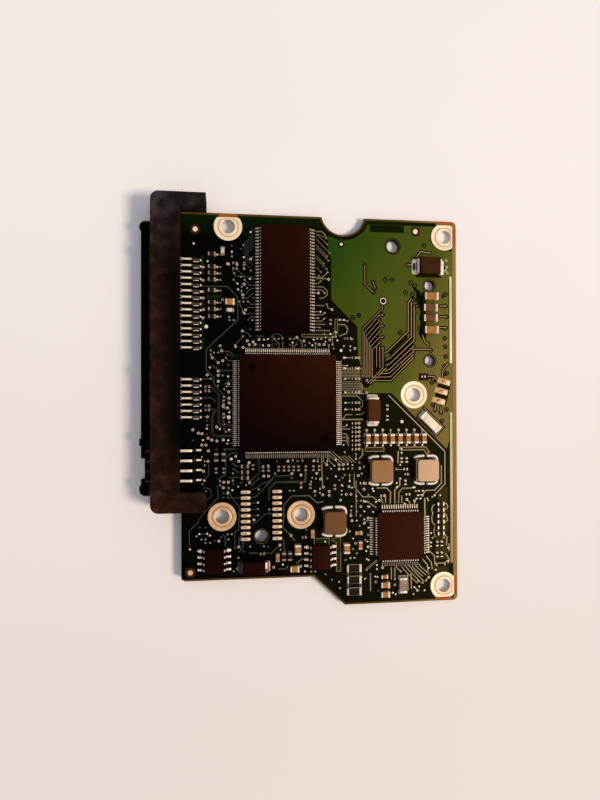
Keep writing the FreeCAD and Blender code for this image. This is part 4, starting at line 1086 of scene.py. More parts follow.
# Plain through contacts between the board's sides.
VIAS = pairs(
    12, 6.1, 10.5, 3.4, 10, 2.6, 10.6, 0.9, 10.7, -0.2, 10.6, -1.4, 12, 0.6, 12, -1.8, 10, -3.1, 10.6, -3.1,
    7.3, -0.5, 9.4, -5.7, 10.4, -6.8, 9.8, -8.8, 10.4, -10.3, 10.3, -14.2, 11.9, -13.8, 11.9, -15.2,
    8.8, -17.1, 10.4, -15.3, 5.8, -17.3, 6.1, -18.3, 7.6, -11.4, 11.3, -16.2, 11.7, -17, 12.5, -16.4,
    13.7, -15.9, 14.7, -15.9, 15.5, -15.8, 16.6, -15.3, 17.7, -15.7, 18.5, -15.6, 20.1, -15.7, 20.9, -15.7,
    14.5, -17.1, 15.7, -17.1, 17.1, -16.8, 20.1, -17, 23.2, -17, 24.1, -16.5, 25, -15.8, 26.2, -16.8,
    27.2, -16.8, 28.4, -15.8, 29.2, -17.6, 30, -15.9, 31.6, -15.5, 32.5, -15.5, 33.2, -15.6, 26.1, -2.5,
    28.2, -3.2, 28.9, -9.5, 27.8, -8.4, 30.5, -11.6, 32.2, -11.8, 31.4, -11.6, 31.4, -19.5, 32.9, -19.5,
    34.3, -19.5, 31.4, -21.7, 32.9, -21.7, 34.3, -21.7, 31.4, -24, 34.4, -24, 36.3, -24.2, 36.2, -26.8,
    5.4, -20.7, 6.3, -20.3, 7.3, -21.1, 5.4, -23.3, 6.3, -23.3, 7.4, -23.5, 5.4, -24.5, 5.3, -25.4,
    7.5, -26.7, 6.5, -27.7, 7.6, -27.9, 6.4, -28.8, 6.4, -29.6, 6.5, -31.6, 7.5, -31.8, 6.4, -32.6,
    5.7, -34.2, 6.6, -34.2, 6.4, -36.4, 3.1, -34.1, 3.1, -35.2, 3.9, -24, 3.2, -31.7, 3.2, -32.5,
    0.3, -34.3, 2.1, -35.1, 0.3, -36.5, 2.3, -36.4, 4.1, -36.4, 2.1, -37.4, 2.9, -37.4, 2.1, -39.8,
    3.3, -40.7, 2.5, -44.5, 8, -40.3, 8.9, -39.8, 9.5, -40.8, 11.6, -41.1, 8.3, -43.2, 11.8, -44.8,
    6.5, -45, 7.4, -45, 8.4, -45.4, 9.9, -45.2, 11.7, -45.2, 6.4, -46.1, 7.5, -46.2, 6.4, -47.2, 7.3, -47.2,
    6.4, -48.1, 7.3, -48.1, 14.5, -41.8, 15.5, -41.8, 14.6, -43.9, 15.6, -43.9, 17.3, -40.9, 19.6, -40.9,
    16.9, -43.4, 20.4, -43.5, 20.4, -44.4, 21.6, -40.9, 22.3, -43.8, 22.3, -46.3, 23.3, -42.4, 25, -40.9,
    25.6, -43.5, 25.4, -44.6, 27.8, -44.6, 28.6, -42.6, 25.2, -47.2, 25.2, -48.1, 27, -46.4, 28.2, -47.3,
    28.2, -48.1, 29.6, -40.7, 30.3, -41.8, 31.2, -41.8, 32.1, -41.7, 33.1, -41.9, 30.3, -42.7, 31.2, -42.7,
    32.2, -42.6, 33.1, -42.6, 30.8, -46, 30.8, -47.2, 30.8, -48, 32.4, -46.4, 31.8, -48, 32.8, -48,
    34.6, -41.4, 33.9, -48.4, 34.9, -49.4, 35.6, -49.5, 36.4, -50.6, 32.9, -50.5, 35.6, -51.6, 37.5, -51.8,
    34.8, -52.5, 33, -53.5, 34, -53.5, 35.6, -53.3, 34.6, -54.6, 32.5, -55.7, 33.2, -57.2, 33.2, -59.4,
    34, -60.3, 36, -59.9, 36.1, -61.6, 31.6, -61.6, 35.8, -57.6, 27.3, -57.7, 27.4, -64.4, 28.7, -65.6,
    30.2, -66.1, 30.4, -67.4, 13.4, -49.3, 13.4, -50.6, 13.4, -51.9, 12.6, -52.8, 15.7, -50.7, 15.8, -51.6,
    1.7, -54, 1, -55.8, 3.7, -55.7, 7.4, -56.6, 2.8, -57.2, -0.3, -58.4, 4.7, -56.8, 5.5, -56.9, 8.8, -58.4,
    9.5, -58.2, 9.4, -60.4, 9.8, -61.4, 9.3, -62.6, 8.5, -63.1, 11.8, -58.2, 14.6, -58.2, 15.5, -58.4,
    17.9, -58.1, 16.6, -62.6, 18.5, -62.1, 19.4, -62.6, 20.2, -56.2, 22.2, -62.6, 23.4, -55.1, 24.4, -62.6,
    34.9, -65.4, 35.8, -65.6, 38.4, -65.4, 42.2, -66, 42.2, -67.2, 42.3, -69.2, 46.2, -69.3, 47.2, -66.6,
    48.2, -67, 48.6, -68.6, 49.5, -63.9, 46.5, -46.8, 48.2, -48.5, 47.2, -48.5, 49.3, -49.2, 43.3, -44.9,
    43.4, -42, 44.5, -44, 45.1, -44, 38.9, -49.4, 37.4, -46.9, 35.6, -47, 35.9, -45.8, 50.9, -48.6,
    53.8, -59.8, 53.8, -62.6, 51.4, -56.2, 50.4, -57.6, 52.9, -57.6, 3.3, -0.1, 6.3, -7.9, 9.2, -0.6,
    9.2, -1.6, 7.5, -0.6, 8.7, -2.4, 10.4, -7.4, 10.7, -10.6, 5.9, -17.5, 8.9, -17.4, 4.2, -19.7,
    3.7, -21.7, 5.4, -22.4, 7.5, -21.2, 3.2, -23.2, 7.5, -25, 7.6, -28.9, 6.6, -29.9, 7.6, -30.8,
    6.6, -33.2, 7.6, -32.8, 5, -38.4, 6.7, -38.4, 9.6, -40.9, 2.4, -42.7, 2.6, -44.6, 3.4, -38.6,
    5.1, -36.6, 7.4, -36.5, 3.2, -33.4, 1.4, -35, 26.4, -44.7, 29.6, -44.2, 31, -46.2, 33, -46.6,
    24.4, -45.2, 36.5, -48.2, 37.6, -47.4, 35.4, -47, 34, -49.4, 34.9, -50.6, 34, -51.6, 36.7, -50.7,
    34.7, -42.6, 35.6, -42.3, 35.1, -43.7, 42.6, -42.9, 43.4, -44.9, 46.2, -46.8, 46.8, -47.6, 50.4, -48.9,
    49.5, -49.6, 38.1, -49.7, 36, -49.6, 33.8, -58.2, 36.5, -61.8, 36.1, -63.8, 35.7, -65.7, 37.9, -65.3,
    38.1, -66.4, 38.6, -68.3, 53.1, -63.3, 51.3, -63.4,
)

# Vias that stand in the pour, each in a dark moat.
POUR_VIAS = pairs(
    35.9, -0.1, 37.7, -3.6, 38.1, -4.7, 37.7, -5.6, 40.3, -3, 41.8, -3, 45.8, -3.5, 46.7, -4.1, 44.7, -5.6,
    46.2, -6, 43.5, -14.1, 48.8, 4.5, 45.2, 0.3, 39.7, -10.4, 39, -11.6, 39.7, -12.75, 39, -13.9,
    39.7, -15.1, 39, -16.25, 39.7, -17.4, 40.2, -18.4, 40.55, -19.8, 40.55, -21, 40.4, -22.2, 39.1, -22.8,
    37.4, -24.25, 46.4, -17, 46.4, -18.1, 53.5, -5.8, 53.4, -8.3, 53.6, -10.6, 53.4, -13.1, 53.4, -17,
    53.5, -19.1, 53.2, -21.2, 53.7, -22.6, 50.2, -17.8, 49.6, -16.4, 50.6, -29.4, 51.1, -30.5, 52.4, -31,
    53.6, -30.4, 52.6, -32.8, 47.2, -8.4, 46.8, -9.8, 46.4, -7.2, 53.3, -15.2, 50.4, -24.6, 33.3, -11.1,
    34.6, -10.6,
)

# Open vias beside the surge diode and beside the connector's tails.
RINGS = pairs(
    53.8, 0, 53.5, -0.7, 53.95, -1.2, 53.7, 1.4, 2.41, -1.36, 2.33, -4, 2.26, -6.3, 2.4, -7.61, 2.46, -9.95,
    2.36, -11.63,
)

# Bare round test points, each with its diameter; sighting marks; the ring contact.
TEST_POINTS = [
    (0.5, 3.4, 0.5), (3, -13.4, 0.8), (30.8, -18, 0.66), (43.8, -32.9, 0.75), (30.9, 4.2, 0.75),
    (7.5, -31.8, 0.8), (8, -40.3, 0.62), (8.9, -39.8, 0.55), (11.6, -41.1, 0.6), (9.5, -40.8, 0.55),
]
FIDUCIALS = pairs(0.8, 6.35, 46.9, 7.4, -0.2, -63.1)
RING_POINT = on_board((39.85, -7.5))

# Edge of the copper pour; its notch side follows the board's notch.
POUR_EDGE = pairs(
    36.5, 8.55, 50.97, 8.55, 50.2, 7.3, 50.15, 5.6, 50.9, 4.3, 52.2, 3.55, 54.15, 3.45, 54.95, 3.4,
    54.95, -2.5, 54.15, -2.6, 54.15, -20.3, 54.95, -20.6, 54.95, -30.9, 54.15, -31.2, 54.15, -37.2,
    53.6, -38.8, 41.6, -26.9, 36.2, -26.9, 35.1, -25.8, 35.1, -21.4, 34.4, -19.2, 34.3, -13, 28.75, -7.5,
    28.75, 1.2, 28.15, 3, 28.15, 5.9,
)

# Smaller patches of pour.
POUR_PATCHES = [
    oblong(25, -57, 28.2, -58.3),
    pairs(29.5, -56.9, 30.6, -56.9, 30.6, -63.9, 29.7, -63.9, 29.7, -58, 28.6, -57.4),
    oblong(35.9, -38.3, 39.9, -39.1),
    pairs(43.3, -38.3, 49, -38.3, 49.8, -39.4, 49.2, -39.8, 48.6, -38.9, 43.3, -38.9),
    pairs(22.6, -14.7, 28.9, -14.7, 29.5, -14, 29.5, -11.5, 30.1, -11.5, 30.1, -14.3, 29.2, -15.3,
          22.6, -15.3),
    pairs(3, -7, 5.7, -7, 5.9, -7.6, 3, -7.7), oblong(1.9, 0.9, 2.5, -2.9), oblong(1.9, -8.2, 2.5, -9.4),
    oblong(2, -12, 2.5, -14.4), oblong(2, -15.7, 2.5, -17.8),
    pairs(7.9, -18.7, 8.6, -19.1, 10.1, -18.9, 10.1, -19.4, 8.4, -19.7, 7.7, -19.2),
    pairs(52.3, -46.9, 53.8, -46.9, 53.8, -50.4, 52.6, -50.4, 51.4, -49.2), oblong(51.1, -51, 53.9, -56.4),
    oblong(51.1, -57.2, 53.9, -62.2), pairs(50.2, -63.7, 53.9, -63.7, 53.9, -65.4, 50.6, -65),
]

# Dark openings of the pour: boxes, gaps of the bus and round the sensor; under the motor pads a dark area is
# painted shadow.
POUR_OPENINGS = [
    oblong(37, 7, 44.4, 8.5),
    pairs(35.2, -13.4, 35.2, -25.4, 36.4, -25.9, 39.2, -22.6, 39, -18.2, 36.6, -13.6),
    oblong(47.5, -24.2, 49.7, -22.7), oblong(46.9, -2.3, 52.5, 1.5), oblong(47.9, -15.3, 49.2, -6.4),
    pairs(40.71, -18.1, 41.31, -19.01, 45.22, -15.2, 44.92, -14.3),
    pairs(40.4, -19.7, 39, -22.7, 37.6, -24.2, 41.45, -24.2, 46.4, -19.3, 46.4, -15.8, 45.9, -15.2,
          41.25, -19.5),
    pairs(38.95, -10.7, 35.85, -14, 37.5, -17.9, 38.95, -16.6),
    # Painted shadow: a dark area under the motor pads, reaching to their lower right, shows in the gaps
    # between them.
    pairs(50.7, -28.75, 53.5, -29.5, 54.65, -24.9, 51.95, -24.2),
    pairs(46.85, -31.95, 50.95, -35.9, 52.7, -34.1, 48.6, -30.15),
]

# Round openings of the pour, each with its radius.
POUR_BLOBS = [
    (46.9, -5, 0.42), (47.4, -5.5, 0.5), (47.5, -6.3, 0.55), (47.2, -7.1, 0.5), (47.8, -7.7, 0.55),
    (48.2, -6.6, 0.5), (48.3, -8.6, 0.5), (48.2, -11, 0.5), (48.3, -13.6, 0.55), (47.9, -14.3, 0.4),
    (46.2, -6.3, 0.4), (46.5, -4.4, 0.4), (52.9, -6.3, 0.35), (53.3, -22.8, 0.5), (50.2, -23.5, 0.5),
    (52.6, 0.8, 0.36), (53.2, -0.2, 0.42), (52.8, -1, 0.36), (51.2, -24.3, 0.4), (30.9, 4.2, 0.7),
]


class Via(Enum):
    """Ends of a via, with their radius in millimetres."""

    RING = 0.29
    DOT = 0.21
    DIM = 0.2
    COVERED = 0.23

    def add(self, draft: Draft, centre: Vector, hole: float = 0.13) -> None:
        """Add a via with an end on each side of the board.

        Args:
            draft: The mesh that it joins, with bare, hole, covered and dull finishes.
            centre: Its place.
            hole: The radius of an open hole.
        """
        wide = self.value
        slot = {Via.DOT: 0, Via.RING: 1, Via.COVERED: 2, Via.DIM: 3}[self]
        for face, up in ((FACE, 1), (BACK, -1)):
            top = face + up * Layer.PAD.value
            end = [(wide, face), (wide - 0.03, top), (wide * 0.5, top + up * 0.02)]
            if self is Via.RING:
                ring = [(wide, face), (wide - 0.05, top), (hole + 0.03, top), (hole, face)]
                draft.turned(centre, ring[::up], 0, 14, True)
                # The open hole is a dark disc: painted shade in the hole.
                end = [(hole, face - up * 0.01), (hole, face + up * 0.03)]
            draft.turned(centre, end[::up], slot, 14)


@dataclass
class PrintedBoard:
    """Laminate with its mask and vias on both sides, and copper pours, tracks and test points on its upper
    side.
    """

    left_margin: float = 0.02
    top_margin: float = 0.42
    right_margin: float = 0.85
    bottom_margin: float = 0.35
    notch: Point = (25.15, 62.75)
    notch_radius: float = 4.65
    notch_margin: float = 0.35
    pour_notch_margin: float = 1.05
    step_start: float = 18.8
    step_run: float = 6.5
    step_height: float = 6.1
    screw_hole: float = 2.9
    plain_holes: tuple = ((35.8, 56.1, 2.9), (43.8, 47.95, 2.4), (43.8, 32.0, 2.4), (7.95, -4.2, 2.9))
    hole_margin: float = 0.12
    wall_shade: float = 0.16
    pour_hole_margin: float = 0.3
    via_odds: tuple[float, ...] = (0.3, 0.18, 0.26, 0.26)
    pour_via_hole: float = 0.19
    seed: int = 11
    moat: float = 0.3
    pour_thinning: float = 0.6
    track_thinning: float = 0.74
    core_from: float = 0.3
    core_rim: float = 0.17
    patch_rim: float = 0.16
    rims: Point = (10.0, 44.0)
    fiducial: float = 1.1
    fiducial_ring: float = 2.1
    contact: Point = (0.7, 0.5)
    contact_moat: float = 0.95
    slope: float = 0.04

    def build(self) -> None:
        """Dress the laminate and lay every printed layer."""
        LAMINATE.dress(frame["nodes"]["bare_board"].data)
        self._masks()
        self._pours()
        self._tracks()
        self._pour_tracks()
        self._vias()
        self._test_points()

    def edge(self) -> list[Vector]:
        """Return the mask's outline, anticlockwise from the upper left corner."""
        left, right = BOARD.low.x + self.left_margin, BOARD.high.x - self.right_margin
        top, bottom = BOARD.high.y - self.top_margin, BOARD.low.y + self.bottom_margin
        lean = math.hypot(self.step_run, self.step_height)
        along = (lean - self.step_run) / self.step_height * self.bottom_margin
        step = bottom + self.step_height
        corners = ((left, top), (left, step), (self.step_start + along, step),
                   (self.step_start + self.step_run + along, bottom), (right, bottom), (right, top))
        return [*map(Vector, corners), *self._notch_arc(top, self.notch_radius + self.notch_margin)]

    def _notch_arc(self, level: float, radius: float, steps: int = 24) -> list[Vector]:
        """Return the notch's arc below a level, from right to left.

        Args:
            level: The level.
            radius: The arc's radius.
            steps: How many pieces make it.

        Returns:
            Its points.
        """
        middle = Vector(self.notch)
        reach = math.asin((level - middle.y) / radius)
        turn = math.pi + 2 * reach
        return [middle + ray(reach - turn * k / steps) * radius for k in range(steps + 1)]

    def _holes(self, margin: float) -> list[list[Vector]]:
        """Return the edges of all through holes, drawn wider by a margin.

        Args:
            margin: What is added to each radius.

        Returns:
            The edges.
        """
        spots = [(spot, self.screw_hole) for spot in screw_spots()]
        spots += [(Vector((x, y)), size) for x, y, size in self.plain_holes]
        return [circle(spot, size / 2 + margin, 28) for spot, size in spots]

    def _masks(self) -> None:
        """Lay the dark mask on both sides."""
        outlines = [self.edge(), *self._holes(self.hole_margin)]
        sheet("mask_top", MASK, outlines, FACE, Layer.MASK.top)
        sheet("mask_bottom", MASK, outlines, BACK - Layer.MASK.value, BACK)

    def _pours(self) -> None:
        """Lay the mask-covered copper areas."""
        edge = list(POUR_EDGE)
        arc = self._notch_arc(edge[0].y, self.notch_radius + self.pour_notch_margin)
        start = edge[-1].x
        edge += [p for p in reversed(arc) if p.x > start]
        holes = [hole for hole in self._holes(self.pour_hole_margin) if all(inside(p, edge) for p in hole)]
        sheet("copper_pour", POUR, [edge, *holes], FACE, Layer.POUR.top)
        patches = Draft("pour_patches", DIM_POUR, POUR_TRACK)
        for patch in POUR_PATCHES:
            outline = patch[::-1]
            patches.plate(outline, FACE, Layer.POUR.top)
            if self.rims[0] < outline[0].x < self.rims[1]:
                patches.track([*outline, outline[0]], self.patch_rim, FACE, Layer.MOAT.top, 1)
        patches.build("solder_mask")

    def _tracks(self) -> None:
        """Draw the tracks; wide ones have a darker core."""
        tracks = Draft("tracks", TRACK, TRACK_CORE)
        top = Layer.TRACK.top
        for full, path in MASK_ROUTES:
            width = full * self.track_thinning
            tracks.track(path, width, FACE, top)
            if width >= self.core_from:
                tracks.track(path, width - self.core_rim, top - 0.01, top + 0.006, 1)
        tracks.build("solder_mask")

    def _pour_tracks(self) -> None:
        """Draw the tracks that cross the pour, and the dark moats round them and round its vias."""
        tracks = Draft("pour_tracks", POUR_TRACK)
        moats = Draft("moats", MASK)
        for full, path in POUR_ROUTES:
            width = full * self.pour_thinning
            moats.track(path, width + 2 * self.moat, FACE, Layer.MOAT.top)
            tracks.track(path, width, FACE, Layer.TRACK.top)
        outlines = [circle(spot, Via.COVERED.value + self.moat, 20) for spot in POUR_VIAS]
        outlines += POUR_OPENINGS
        outlines += [circle(on_board((u, v)), radius, 20) for u, v, radius in POUR_BLOBS]
        for outline in outlines:
            moats.plate(outline, FACE, Layer.MOAT.top)
        tracks.build("solder_mask")
        moats.build("solder_mask")

    def _vias(self) -> None:
        """Set the vias: open rings, filled dots and mask-covered dots, through to the lower side."""
        draw = random.Random(self.seed)
        vias = Draft("vias", TINNED, HOLE_SHADE, TRACK, DULL_TIN)
        for spot in VIAS:
            draw.choices(list(Via), self.via_odds)[0].add(vias, spot)
        for spot in RINGS:
            Via.RING.add(vias, spot)
        for spot in MEMORY_VIAS:
            Via.COVERED.add(vias, spot)
        vias.build("bare_plating")
        pour_vias = Draft("pour_vias", POUR_TRACK, DIM_POUR)
        for spot in POUR_VIAS:
            Via.RING.add(pour_vias, spot, self.pour_via_hole)
        pour_vias.build("bare_plating")

    def _test_points(self) -> None:
        """Set the test points, sighting marks, the ring contact and dark rings of painted shade inside plain
        holes.
        """
        points = Draft("test_points", TINNED, PLATING, MARK_RING, HOLE_SHADE, BRIGHT_SOLDER)
        top = Layer.PAD.top
        for u, v, size in TEST_POINTS:
            profile = [(size / 2, FACE), (size / 2 - self.slope, top), (size / 5, top + 0.02)]
            points.turned(on_board((u, v)), profile)
        ring, dot = self.fiducial_ring / 2, self.fiducial / 2
        for spot in FIDUCIALS:
            points.turned(spot, [(ring, FACE), (ring, Layer.MOAT.top)], 2, 24)
            points.turned(spot, [(dot, FACE), (dot - self.slope, top), (dot / 2, top + 0.01)], 1, 24)
        outer, inner = self.contact
        profile = [(outer, FACE), (outer - 0.02, top), (inner + 0.02, top), (inner, FACE)]
        points.turned(RING_POINT, [(self.contact_moat, FACE), (self.contact_moat, Layer.TRACK.top)], 3, 24)
        points.turned(RING_POINT, profile, 4, 24, True)
        points.turned(RING_POINT, [(inner, FACE), (inner, Layer.TRACK.top + 0.004)], 3, 24)
        # Painted shade: a dark ring lines each plain hole's wall.
        for x, y, size in self.plain_holes:
            inner, outer = size / 2 - self.wall_shade, size / 2 + 0.005
            high, low = FACE - 0.01, BACK + 0.01
            profile = [(outer, high), (inner, high), (inner, low), (outer, low)]
            points.turned(Vector((x, y)), profile, 3, 32, True)
        points.build("bare_plating")


def samples(path: Path, step: float = 0.2) -> list[Vector]:
    """Return points along a way, about one step apart.

    Args:
        path: The way.
        step: The distance.

    Returns:
        The points.
    """
    spots = [path[0]]
    for a, b in zip(path, path[1:]):
        count = max(1, math.ceil((b - a).length / step))
        spots += [a.lerp(b, k / count) for k in range(1, count + 1)]
    return spots


def heading(block: Block, middle: Vector) -> Vector:
    """Return the way in which a lead heads from its package's middle.

    Args:
        block: The lead's box.
        middle: The package's middle.

    Returns:
        A unit step.
    """
    away = block.centre.xy - middle
    if block.size.x > block.size.y:
        return RIGHT * math.copysign(1.0, away.x)
    return UP * math.copysign(1.0, away.y)


@dataclass
class Plot:
    """The board's face in small squares, each free or taken."""

    cell: float = 0.2
    taken: set[tuple[int, int]] = field(default_factory=set)

    def _around(self, spot: Vector, radius: float) -> list[tuple[int, int]]:
        """Return the squares within a radius of a point.

        Args:
            spot: The point.
            radius: The radius.

        Returns:
            Their columns and rows.
        """
        reach = math.ceil(radius / self.cell)
        column, row = round(spot.x / self.cell), round(spot.y / self.cell)
        steps = range(-reach, reach + 1)
        near = [(i, j) for i in steps for j in steps if math.hypot(i, j) * self.cell <= radius]
        return [(column + i, row + j) for i, j in near]

    def free(self, spots: Path, radius: float) -> bool:
        """Return whether nothing lies within a radius of any of the points."""
        return not any(square in self.taken for spot in spots for square in self._around(spot, radius))

    def take(self, spots: Path, radius: float) -> None:
        """Mark the squares within a radius of the points."""
        for spot in spots:
            self.taken.update(self._around(spot, radius))

    def take_block(self, block: Block, margin: float) -> None:
        """Mark the squares under a box.

        Args:
            block: The box.
            margin: How far beside it squares are marked too.
        """
        grown = Vector((margin, margin))
        low, high = block.low.xy - grown, block.high.xy + grown
        columns, rows = (range(math.floor(a / self.cell), math.ceil(b / self.cell) + 1)
                         for a, b in zip(low, high))
        self.taken.update((i, j) for i in columns for j in rows)


# Busy parts of the board as drawn: left, low, right and high side, and how often something is set there.
BUSY_ZONES = [
    (2.6, -37.0, 8.6, -18.6, 90), (2.2, -48.6, 12.0, -33.6, 110), (12.0, -48.4, 31.0, -40.4, 150),
    (30.6, -62.4, 37.0, -40.0, 150), (8.4, -65.0, 31.0, -58.4, 45), (49.8, -64.4, 54.0, -47.2, 80),
    (42.0, -50.6, 47.0, -39.0, 60), (36.2, -50.4, 50.0, -46.6, 40), (37.6, -69.4, 51.4, -62.6, 70),
    (25.4, -15.2, 32.6, 0.6, 60), (9.4, -17.6, 34.0, -14.8, 80), (30.6, -39.6, 35.4, -19.0, 40),
    (7.2, -14.6, 12.6, 5.6, 50), (1.0, -58.6, 9.0, -53.6, 20),
]


@dataclass
class Undergrowth:
    """Thin tracks from the leads to vias, and loose vias, links and bare pads between the parts."""

    seed: int = 23
    width: float = 0.15
    clear: float = 0.24
    via_clear: float = 0.4
    stub_clear: float = 0.18
    skip: int = 3
    run: Point = (0.65, 1.9)
    jog: Point = (0.3, 1.1)
    link: Point = (0.8, 2.0)
    pad: Point = (0.38, 0.28)
    pad_gap: float = 0.42
    tries: int = 6
    margin: float = 0.12
    land: float = 3.1
    odds: tuple[float, ...] = (0.2, 0.22, 0.36, 0.22)
    kinds: tuple[float, ...] = (0.38, 0.37, 0.25)
    shares: tuple[tuple[str, float], ...] = (("controller", 0.55), ("memory", 0.45), ("driver", 0.5))
    near: float = 0.3
    column_u: float = 4.1
    column_dot: float = 1.15
    column_pad: float = 1.75
    row_u: float = 33.4
    row_ring: float = 1.2
    row_blob: float = -1.75
    lone_row: float = -32.0
    upper_ring: float = 0.8
    lower_dot: float = 0.42

    def build(self) -> None:
        """Set everything that there is room for."""
        self.draw = random.Random(self.seed)
        self.plot = self._survey()
        self.tracks = Draft("thin_tracks", THIN_TRACK)
        self.mask = PrintedBoard().edge()
        self.vias = Draft("loose_vias", TINNED, HOLE_SHADE, TRACK, DULL_TIN)
        self._rows()
        for kind, share in self.shares:
            self._fan_out(kind, share)
        for left, low, right, high, tries in BUSY_ZONES:
            for _ in range(tries):
                self._set_something((left, right), (low, high))
        self.tracks.build("solder_mask")
        self.vias.build("bare_plating")

    def _survey(self) -> Plot:
        """Return what the parts, lands, tracks and vias leave free."""
        plot = Plot()
        for node in set(frame["nodes"]) - {"bare_board", "connector_housing", "screw_lands"}:
            margin = 0.0 if node.endswith("_leads") else self.margin
            for block in loose_blocks(node):
                plot.take_block(block, margin)
        plot.take(screw_spots(), self.land)
        plot.take([Vector((x, y)) for x, y, _ in PrintedBoard.plain_holes], self.land / 2)
        for width, path in MASK_ROUTES + POUR_ROUTES:
            plot.take(samples(path), width / 2)
        plot.take(VIAS + POUR_VIAS + MEMORY_VIAS, Via.RING.value)
        return plot

    def _on_mask(self, spot: Vector) -> bool:
        """Return whether a point and its surroundings lie on the dark mask."""
        ring = circle(spot, self.via_clear, 6)
        return all(inside(p, self.mask) and not inside(p, POUR_EDGE) for p in ring)

    def _via(self, spot: Vector, style: Optional[Via] = None) -> None:
        """Set a via, in a style that is drawn if none is given.

        Args:
            spot: Its place.
            style: Its style.
        """
        style = style or self.draw.choices(list(Via), self.odds)[0]
        style.add(self.vias, spot)
        self.plot.take([spot], Via.RING.value)

    def _line(self, path: Path) -> None:
        """Draw a thin track."""
        self.tracks.track(path, self.width, FACE, Layer.TRACK.top)
        self.plot.take(samples(path), self.width / 2)

    def _column(self, node: str, across: float) -> list[Vector]:
        """Return the middles of a node's chips that stand in a column of the drawing."""
        spots = [block.centre.xy for block in loose_blocks(node)]
        return [at for at in spots if abs(at.x - on_board((across, 0.0)).x) < self.near]

    def _rows(self) -> None:
        """Give each resistor beside the controller its vias and tracks, and each output capacitor a via."""
        for at in self._column("termination_resistors", self.row_u):
            ring = at + RIGHT * self.row_ring
            self._line([at, ring])
            self._via(ring, Via.RING)
            if at.y > on_board((0.0, self.lone_row)).y:
                blob = at + RIGHT * self.row_blob
                self._line([blob, at])
                self._via(blob, Via.DOT)
        for at in self._column("line_chips", self.column_u):
            self._via(at + RIGHT * self.column_dot, Via.DOT)
            self._pad(at + RIGHT * self.column_pad, True)
        for number in range(1, 9):
            block = Block.of_node(f"output_capacitor_{number}")
            edge = Vector((block.centre.x, block.high.y))
            ring = edge + UP * self.upper_ring
            self._line([edge, ring])
            self._via(ring, Via.RING if number % 4 else Via.COVERED)
            self._via(Vector((block.centre.x, block.low.y - self.lower_dot)), Via.DOT)

    def _fan_out(self, kind: str, share: float) -> None:
        """Lead tracks away from a share of a package's leads.

        Args:
            kind: The package.
            share: How many of its leads have one.
        """
        middle = Block.of_node(f"{kind}_package").centre.xy
        for block in loose_blocks(f"{kind}_leads"):
            if self.draw.random() < share:
                out = heading(block, middle)
                self._lead_away(block.centre.xy + out * max(block.size.xy) / 2, out)

    def _lead_away(self, toe: Vector, out: Vector) -> None:
        """Draw one track from a lead to a via, where there is room.

        Args:
            toe: The lead's outer end.
            out: The lead's heading.
        """
        for _ in range(self.tries):
            bend = toe + out * self.draw.uniform(*self.run)
            turn = self.draw.choice((-1, 0, 1))
            path = [toe, bend]
            if turn:
                path.append(bend + (out + Vector((-out.y, out.x)) * turn) * self.draw.uniform(*self.jog))
            room = self.plot.free(samples(path)[self.skip:], self.stub_clear)
            if room and self.plot.free(path[-1:], self.via_clear):
                self._line(path)
                self._via(path[-1])
                return

    def _set_something(self, width: Point, height: Point) -> None:
        """Set a via, two linked vias or two pads at a drawn place, where there is room.

        Args:
            width: The zone's left and right side.
            height: Its low and high side.
        """
        spot = on_board((self.draw.uniform(*width), self.draw.uniform(*height)))
        kind = self.draw.choices(range(len(self.kinds)), self.kinds)[0]
        ahead = ray(math.radians(45 * self.draw.randrange(8)))
        if not self.plot.free([spot], self.via_clear) or not self._on_mask(spot):
            return
        if kind == 0:
            self._via(spot)
        elif kind == 1:
            path = [spot, spot + ahead * self.draw.uniform(*self.link)]
            room = self.plot.free(samples(path), self.clear) and self.plot.free(path[1:], self.via_clear)
            if room and self._on_mask(path[1]):
                self._line(path)
                self._via(path[0])
                self._via(path[1])
        else:
            flat = self.draw.random() < 0.5
            along = RIGHT if flat else UP
            spots = [spot + along * side * self.pad_gap for side in (-1, 1)]
            if self.plot.free(spots, self.clear):
                for at in spots:
                    self._pad(at, flat)

    def _pad(self, at: Vector, flat: bool) -> None:
        """Set a small bare pad.

        Args:
            at: Its middle.
            flat: Its long side lies along X.
        """
        length, width = self.pad if flat else self.pad[::-1]
        self.vias.plate(rectangle(at, length, width, 0.06), FACE, Layer.PAD.top, 3)
        self.plot.take([at], max(self.pad))


def screw_spots() -> list[Vector]:
    """Return the centres of the six screw holes, from the record's bores."""
    bores = [m for m in frame["record"]["mounts"] if m["kind"] == "bore"]
    return [Vector(m["pos_m"][:2]) / MM for m in bores]


